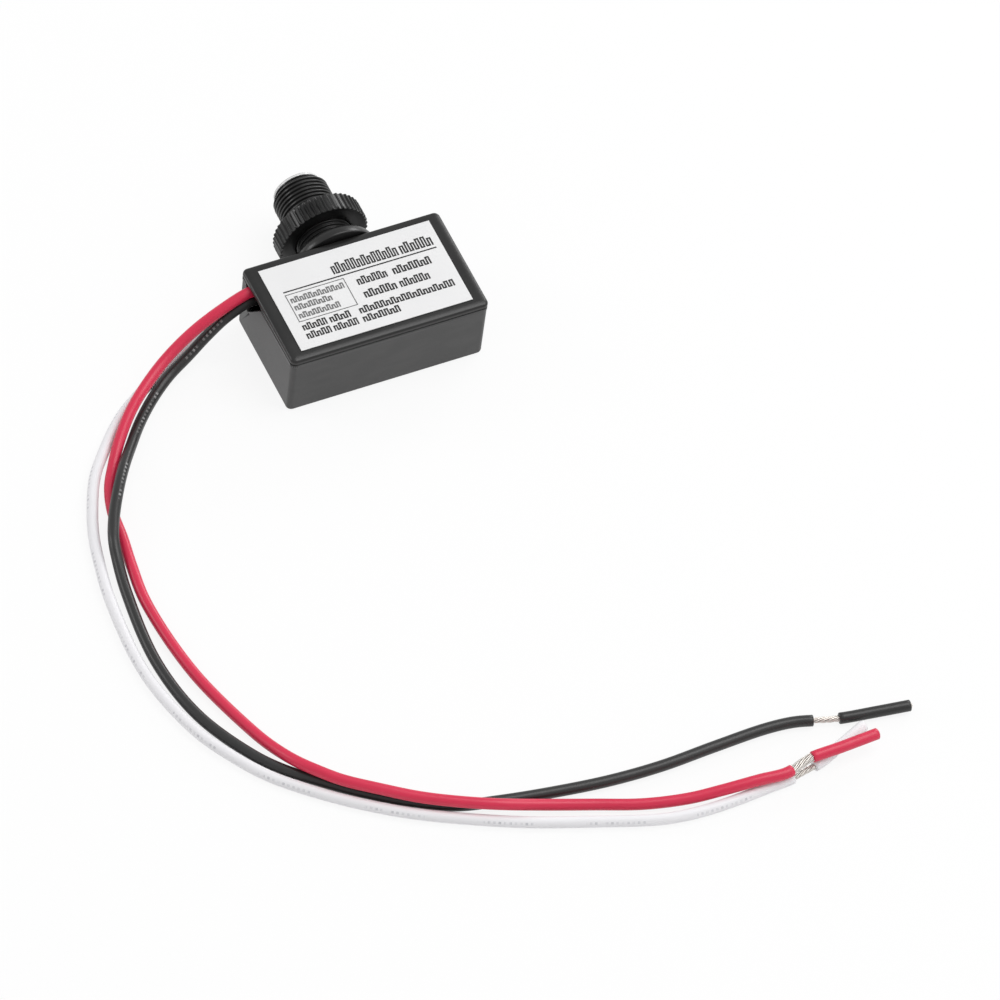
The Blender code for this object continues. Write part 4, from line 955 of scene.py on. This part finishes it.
def bars_along(name, lines, radii, sides, edge):
    """Round bars along several lines at once, each closed at both ends.

    Point(line, i, angle) = centre_i + radius_i (cos angle × beside_i + sin angle × above_i).  Each
    end has a ring one edge short of the full radius and a pole, which makes a small chamfer.
    The map "surface" holds the distance along and the distance around.
    """
    ahead, beside, above = directions(lines)
    first, last = lines[:, :1], lines[:, -1:]
    centres = [first, first, first + ahead[:, :1] * edge, lines[:, 1:-1]]
    centres += [last - ahead[:, -1:] * edge, last, last]
    centres = np.concatenate(centres, axis=1)
    beside = np.concatenate([beside[:, :1]] * 2 + [beside] + [beside[:, -1:]] * 2, axis=1)
    above = np.concatenate([above[:, :1]] * 2 + [above] + [above[:, -1:]] * 2, axis=1)
    reach = np.concatenate([[0.0, radii[0] - edge], radii, [radii[-1] - edge, 0.0]])
    angle = np.linspace(0, math.tau, sides, endpoint=False)[:, None]
    ring = beside[:, :, None] * np.cos(angle) + above[:, :, None] * np.sin(angle)
    points = centres[:, :, None] + reach[None, :, None, None] * ring
    number = np.arange(points[..., 0].size).reshape(points.shape[:3])
    turned = np.roll(number, -1, axis=2)
    faces = np.stack([number[:, :-1], number[:, 1:], turned[:, 1:], turned[:, :-1]], axis=-1)
    along = np.linalg.norm(np.diff(centres, axis=1), axis=-1).cumsum(axis=1)
    along = np.concatenate([np.zeros((len(lines), 1)), along], axis=1)[:, :, None]
    near, far = along[:, :-1], along[:, 1:]
    left = (np.arange(sides) / sides * math.tau * radii.max())[None, None]
    right = left + math.tau * radii.max() / sides
    shape = faces.shape[:3]
    corners = [
        [np.broadcast_to(u, shape), np.broadcast_to(v, shape)]
        for u, v in ((near, left), (far, left), (far, right), (near, right))
    ]
    mesh = mesh_of(name, points, faces)
    layer = mesh.uv_layers.new(name="surface")
    layer.data.foreach_set("uv", np.moveaxis(np.array(corners), (0, 1), (-2, -1)).ravel())
    return tidy_mesh(mesh, smooth_angle=50)


def twisted_lines(line, wires, spread, bulge, turns):
    """Centre lines of a core wire and a ring of wires wound round it.

    Wire k lies at angle 2 pi k / wires + turns × 2 pi × share of the length, at a distance of
    spread + bulge × sin(pi × share), times 1 + wander × sin(waves × angle + k).
    """
    _, beside, above = directions(line)
    share = np.linspace(0.0, 1.0, len(line))
    angle = math.tau * (np.arange(wires)[:, None] / wires + turns * share)
    wander = 1 + STRAND_WANDER * np.sin(STRAND_WAVES * angle + np.arange(wires)[:, None])
    away = (spread + bulge * np.sin(math.pi * share)) * wander
    ring = np.cos(angle)[..., None] * beside + np.sin(angle)[..., None] * above
    return np.concatenate([line[None], line[None] + away[..., None] * ring])


def make_lead(colour, route, finish, slug_finish, inside, wires, spread, turns):
    """One lead: its insulation, the bared and twisted wires past it, and the slug on their tips.

    The insulation inside the case is a bar of its own.  The jacket's Radius(share) = lead radius ×
    (1 + waver × sin(first wave × share) × sin(second wave × share)).
    """
    line = smooth_route(np.array(route) * MM, ROUTE_STEP)
    total = length_along(line)[-1]
    slug_start = total - SLUG_LENGTH
    strand_start = slug_start - STRAND_LENGTH

    def sleeve(name, way, radii, edge, material, replaced=()):
        mesh = bars_along(name, way[None], radii, LEAD_SIDES, edge)
        return add_piece(mesh, material, "case", replaced)

    def wire_bundle(name, ways, replaced=()):
        radii = np.full(ways.shape[1], STRAND_WIRE)
        mesh = bars_along(name, ways, radii, STRAND_SIDES, STRAND_WIRE / 4)
        return add_piece(mesh, TINNED, "case", replaced)

    jacket = stretch(line, inside, strand_start - SEAT_GAP, LEAD_STEP)
    share = np.linspace(0, 1, len(jacket))
    waves = np.sin(LEAD_WAVES[0] * share) * np.sin(LEAD_WAVES[1] * share)
    radii = LEAD_RADIUS * (1 + LEAD_WAVER * waves)
    lead = sleeve(
        f"{colour}_insulation", jacket, radii, JACKET_EDGE, finish, [f"{colour}_lead"],
    )
    if inside:
        hidden = stretch(line, 0.0, inside, LEAD_STEP)
        radii = np.full(len(hidden), LEAD_RADIUS)
        sleeve(f"{colour}_insulation_in_case", hidden, radii, JACKET_EDGE, finish)
    bare = stretch(line, strand_start - 2 * SEAT_GAP, slug_start + SEAT_GAP, STRAND_WIRE)
    bundle = twisted_lines(bare, wires, spread, STRAND_BULGE * spread, turns)
    strands = wire_bundle(f"{colour}_twisted_wires", bundle, [f"{colour}_strands"])
    tail = stretch(line, slug_start, total - CUT_PROUD, LEAD_STEP)
    radii = np.full(len(tail), LEAD_RADIUS)
    slug = sleeve(f"{colour}_end_slug", tail, radii, SLUG_EDGE, slug_finish, [f"{colour}_slug"])
    tip = stretch(line, total - CUT_LENGTH, total, STRAND_WIRE)
    tips = wire_bundle(
        f"{colour}_cut_wires", twisted_lines(tip, CUT_WIRES, CUT_SPREAD, 0.0, turns / 4),
    )


def make_leads():
    """The three leads, with dashes on the black one's first stretch and along the white one."""
    red = plain_insulation(
        "red insulation", (0.58, 0.014, 0.056, 1.0), (0.72, 0.027, 0.082, 1.0), rough=0.30,
    )
    black = marked_insulation(
        "black insulation", grey(0.014), grey(0.028), rough=0.31,
        ink_colour=grey(0.50), side=2.9 * MM, reach=78 * MM,
    )
    pale = grey(0.80, tint=LILAC), grey(0.87, tint=LILAC)
    white = marked_insulation(
        "white insulation", *pale, rough=0.42,
        ink_colour=grey(0.36, tint=(0.95, 0.95, 1.05)), side=0.85 * MM, reach=1.0,
    )
    black_slug = plain_insulation("black slug insulation", grey(0.011), grey(0.022), rough=0.31)
    white_slug = plain_insulation("white slug insulation", *pale, rough=0.42)
    flat = {"wires": 12, "spread": 0.8 * MM, "turns": 0.35}
    round_bundle = {"wires": 8, "spread": 0.5 * MM, "turns": 0.6}
    make_lead("red", RED_ROUTE, red, red, RED_INSIDE, **flat)
    make_lead("black", BLACK_ROUTE, black, black_slug, 0.0, **round_bundle)
    make_lead("white", WHITE_ROUTE, white, white_slug, 0.0, **round_bundle)


def finish_inner_pieces():
    """Finishes of the pieces inside the case, which keep the frame's own meshes."""
    brass = metal("terminal brass", (0.80, 0.56, 0.20), rough=0.28, grain=0.12 * MM)
    silver = metal("contact silver", (0.86, 0.86, 0.84), rough=0.22, grain=0.2 * MM)
    bimetal = metal("blade bimetal", (0.60, 0.57, 0.53), rough=0.30, grain=0.1 * MM)
    steel = metal("screw steel", (0.56, 0.56, 0.56), rough=0.30, grain=0.15 * MM)
    brown = board("pressed board")
    finishes = {
        brass: [
            "line_terminal", "load_terminal", "neutral_terminal", "terminal_rivet_1",
            "terminal_rivet_2", "terminal_rivet_3", "blade_rivet",
        ],
        silver: ["moving_contact", "fixed_contact"],
        bimetal: ["bimetal_blade"],
        steel: ["calibration_screw"],
        brown: ["base_board", "cell_holder"],
        TINNED: ["cell_lead_a", "cell_lead_b", "heater_lead_a", "heater_lead_b"],
        cell_face("cell face"): ["cds_cell"],
        ceramic("heater ceramic"): ["heater_resistor"],
    }
    for material, nodes in finishes.items():
        for node in nodes:
            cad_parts[node].data.materials[0] = material


# Studio


def make_floor():
    """White ground on the plane that the switch rests on: z falls towards the nut."""
    x, y = np.array([(-1, -1), (1, -1), (1, 1), (-1, 1)]).T * FLOOR_SIZE / 2
    x, y = AIM.x + x, AIM.y + y
    points = np.stack([x, y, (REST_Y - y) * REST_SLOPE - REST_DROP], axis=1)
    mesh = mesh_of("ground", points, np.arange(4))
    mesh.materials.append(floor_finish("white ground"))
    ground = bpy.data.objects.new("ground", mesh)
    bpy.context.scene.collection.objects.link(ground)


def soft_light(name, direction, distance, size, power):
    """A square lamp that faces the case from a direction."""
    data = bpy.data.lights.new(name, "AREA")
    data.shape = "SQUARE"
    data.size = size
    data.energy = power
    lamp = bpy.data.objects.new(name, data)
    way = Vector(direction).normalized()
    lamp.location = AIM + way * distance
    lamp.rotation_euler = way.to_track_quat("Z", "Y").to_euler()
    bpy.context.scene.collection.objects.link(lamp)


def make_light():
    """White world that the camera sees at full strength, and the lamps."""
    world = bpy.data.worlds.new("studio")
    world.use_nodes = True
    tree = world.node_tree
    path = tree.nodes.new("ShaderNodeLightPath")
    backdrop = tree.nodes["Background"]
    backdrop.inputs["Color"].default_value = grey(1.0)
    strength = tree.nodes.new("ShaderNodeMapRange")
    strength.inputs["To Min"].default_value = WORLD_STRENGTH
    strength.inputs["To Max"].default_value = 1.0
    tree.links.new(path.outputs["Is Camera Ray"], strength.inputs["Value"])
    tree.links.new(strength.outputs[0], backdrop.inputs["Strength"])
    bpy.context.scene.world = world
    for lamp in LAMPS:
        soft_light(*lamp)


def make_camera():
    """Place the camera so that the case's middle falls on its pixel, seen from the fitted side."""
    azimuth, elevation, roll = map(math.radians, (CAMERA_AZIMUTH, CAMERA_ELEVATION, CAMERA_ROLL))
    back = Vector((
        math.sin(azimuth) * math.cos(elevation),
        -math.cos(azimuth) * math.cos(elevation),
        math.sin(elevation),
    ))
    right = Vector((math.cos(azimuth), math.sin(azimuth), 0.0))
    up = back.cross(right)
    rolled_right = math.cos(roll) * right - math.sin(roll) * up
    rolled_up = math.sin(roll) * right + math.cos(roll) * up
    focal = PIXELS_PER_MM * CAMERA_DISTANCE / MM
    offset = rolled_right * (PICTURE / 2 - AIM_PIXEL[0]) - rolled_up * (PICTURE / 2 - AIM_PIXEL[1])
    axis = (back * focal - offset).normalized()
    side = (rolled_right - axis * rolled_right.dot(axis)).normalized()
    turn = Matrix((side, axis.cross(side), axis)).transposed()
    data = bpy.data.cameras.new("camera")
    data.sensor_width = SENSOR
    data.lens = SENSOR * math.sqrt(focal**2 + offset.length_squared) / PICTURE
    data.clip_start = CLIP_START
    data.clip_end = CLIP_END
    camera = bpy.data.objects.new("camera", data)
    camera.matrix_world = Matrix.Translation(AIM + back * CAMERA_DISTANCE) @ turn.to_4x4()
    bpy.context.scene.collection.objects.link(camera)
    bpy.context.scene.camera = camera


make_camera()
TINNED = metal("tinned copper", (0.74, 0.70, 0.66), rough=0.26, grain=0.1 * MM)
make_leads()
make_case()
make_cover()
make_thread()
make_nut()
make_gasket()
make_window()
make_label()
finish_inner_pieces()
make_floor()
make_light()
bpy.context.scene.view_settings.view_transform = "Standard"
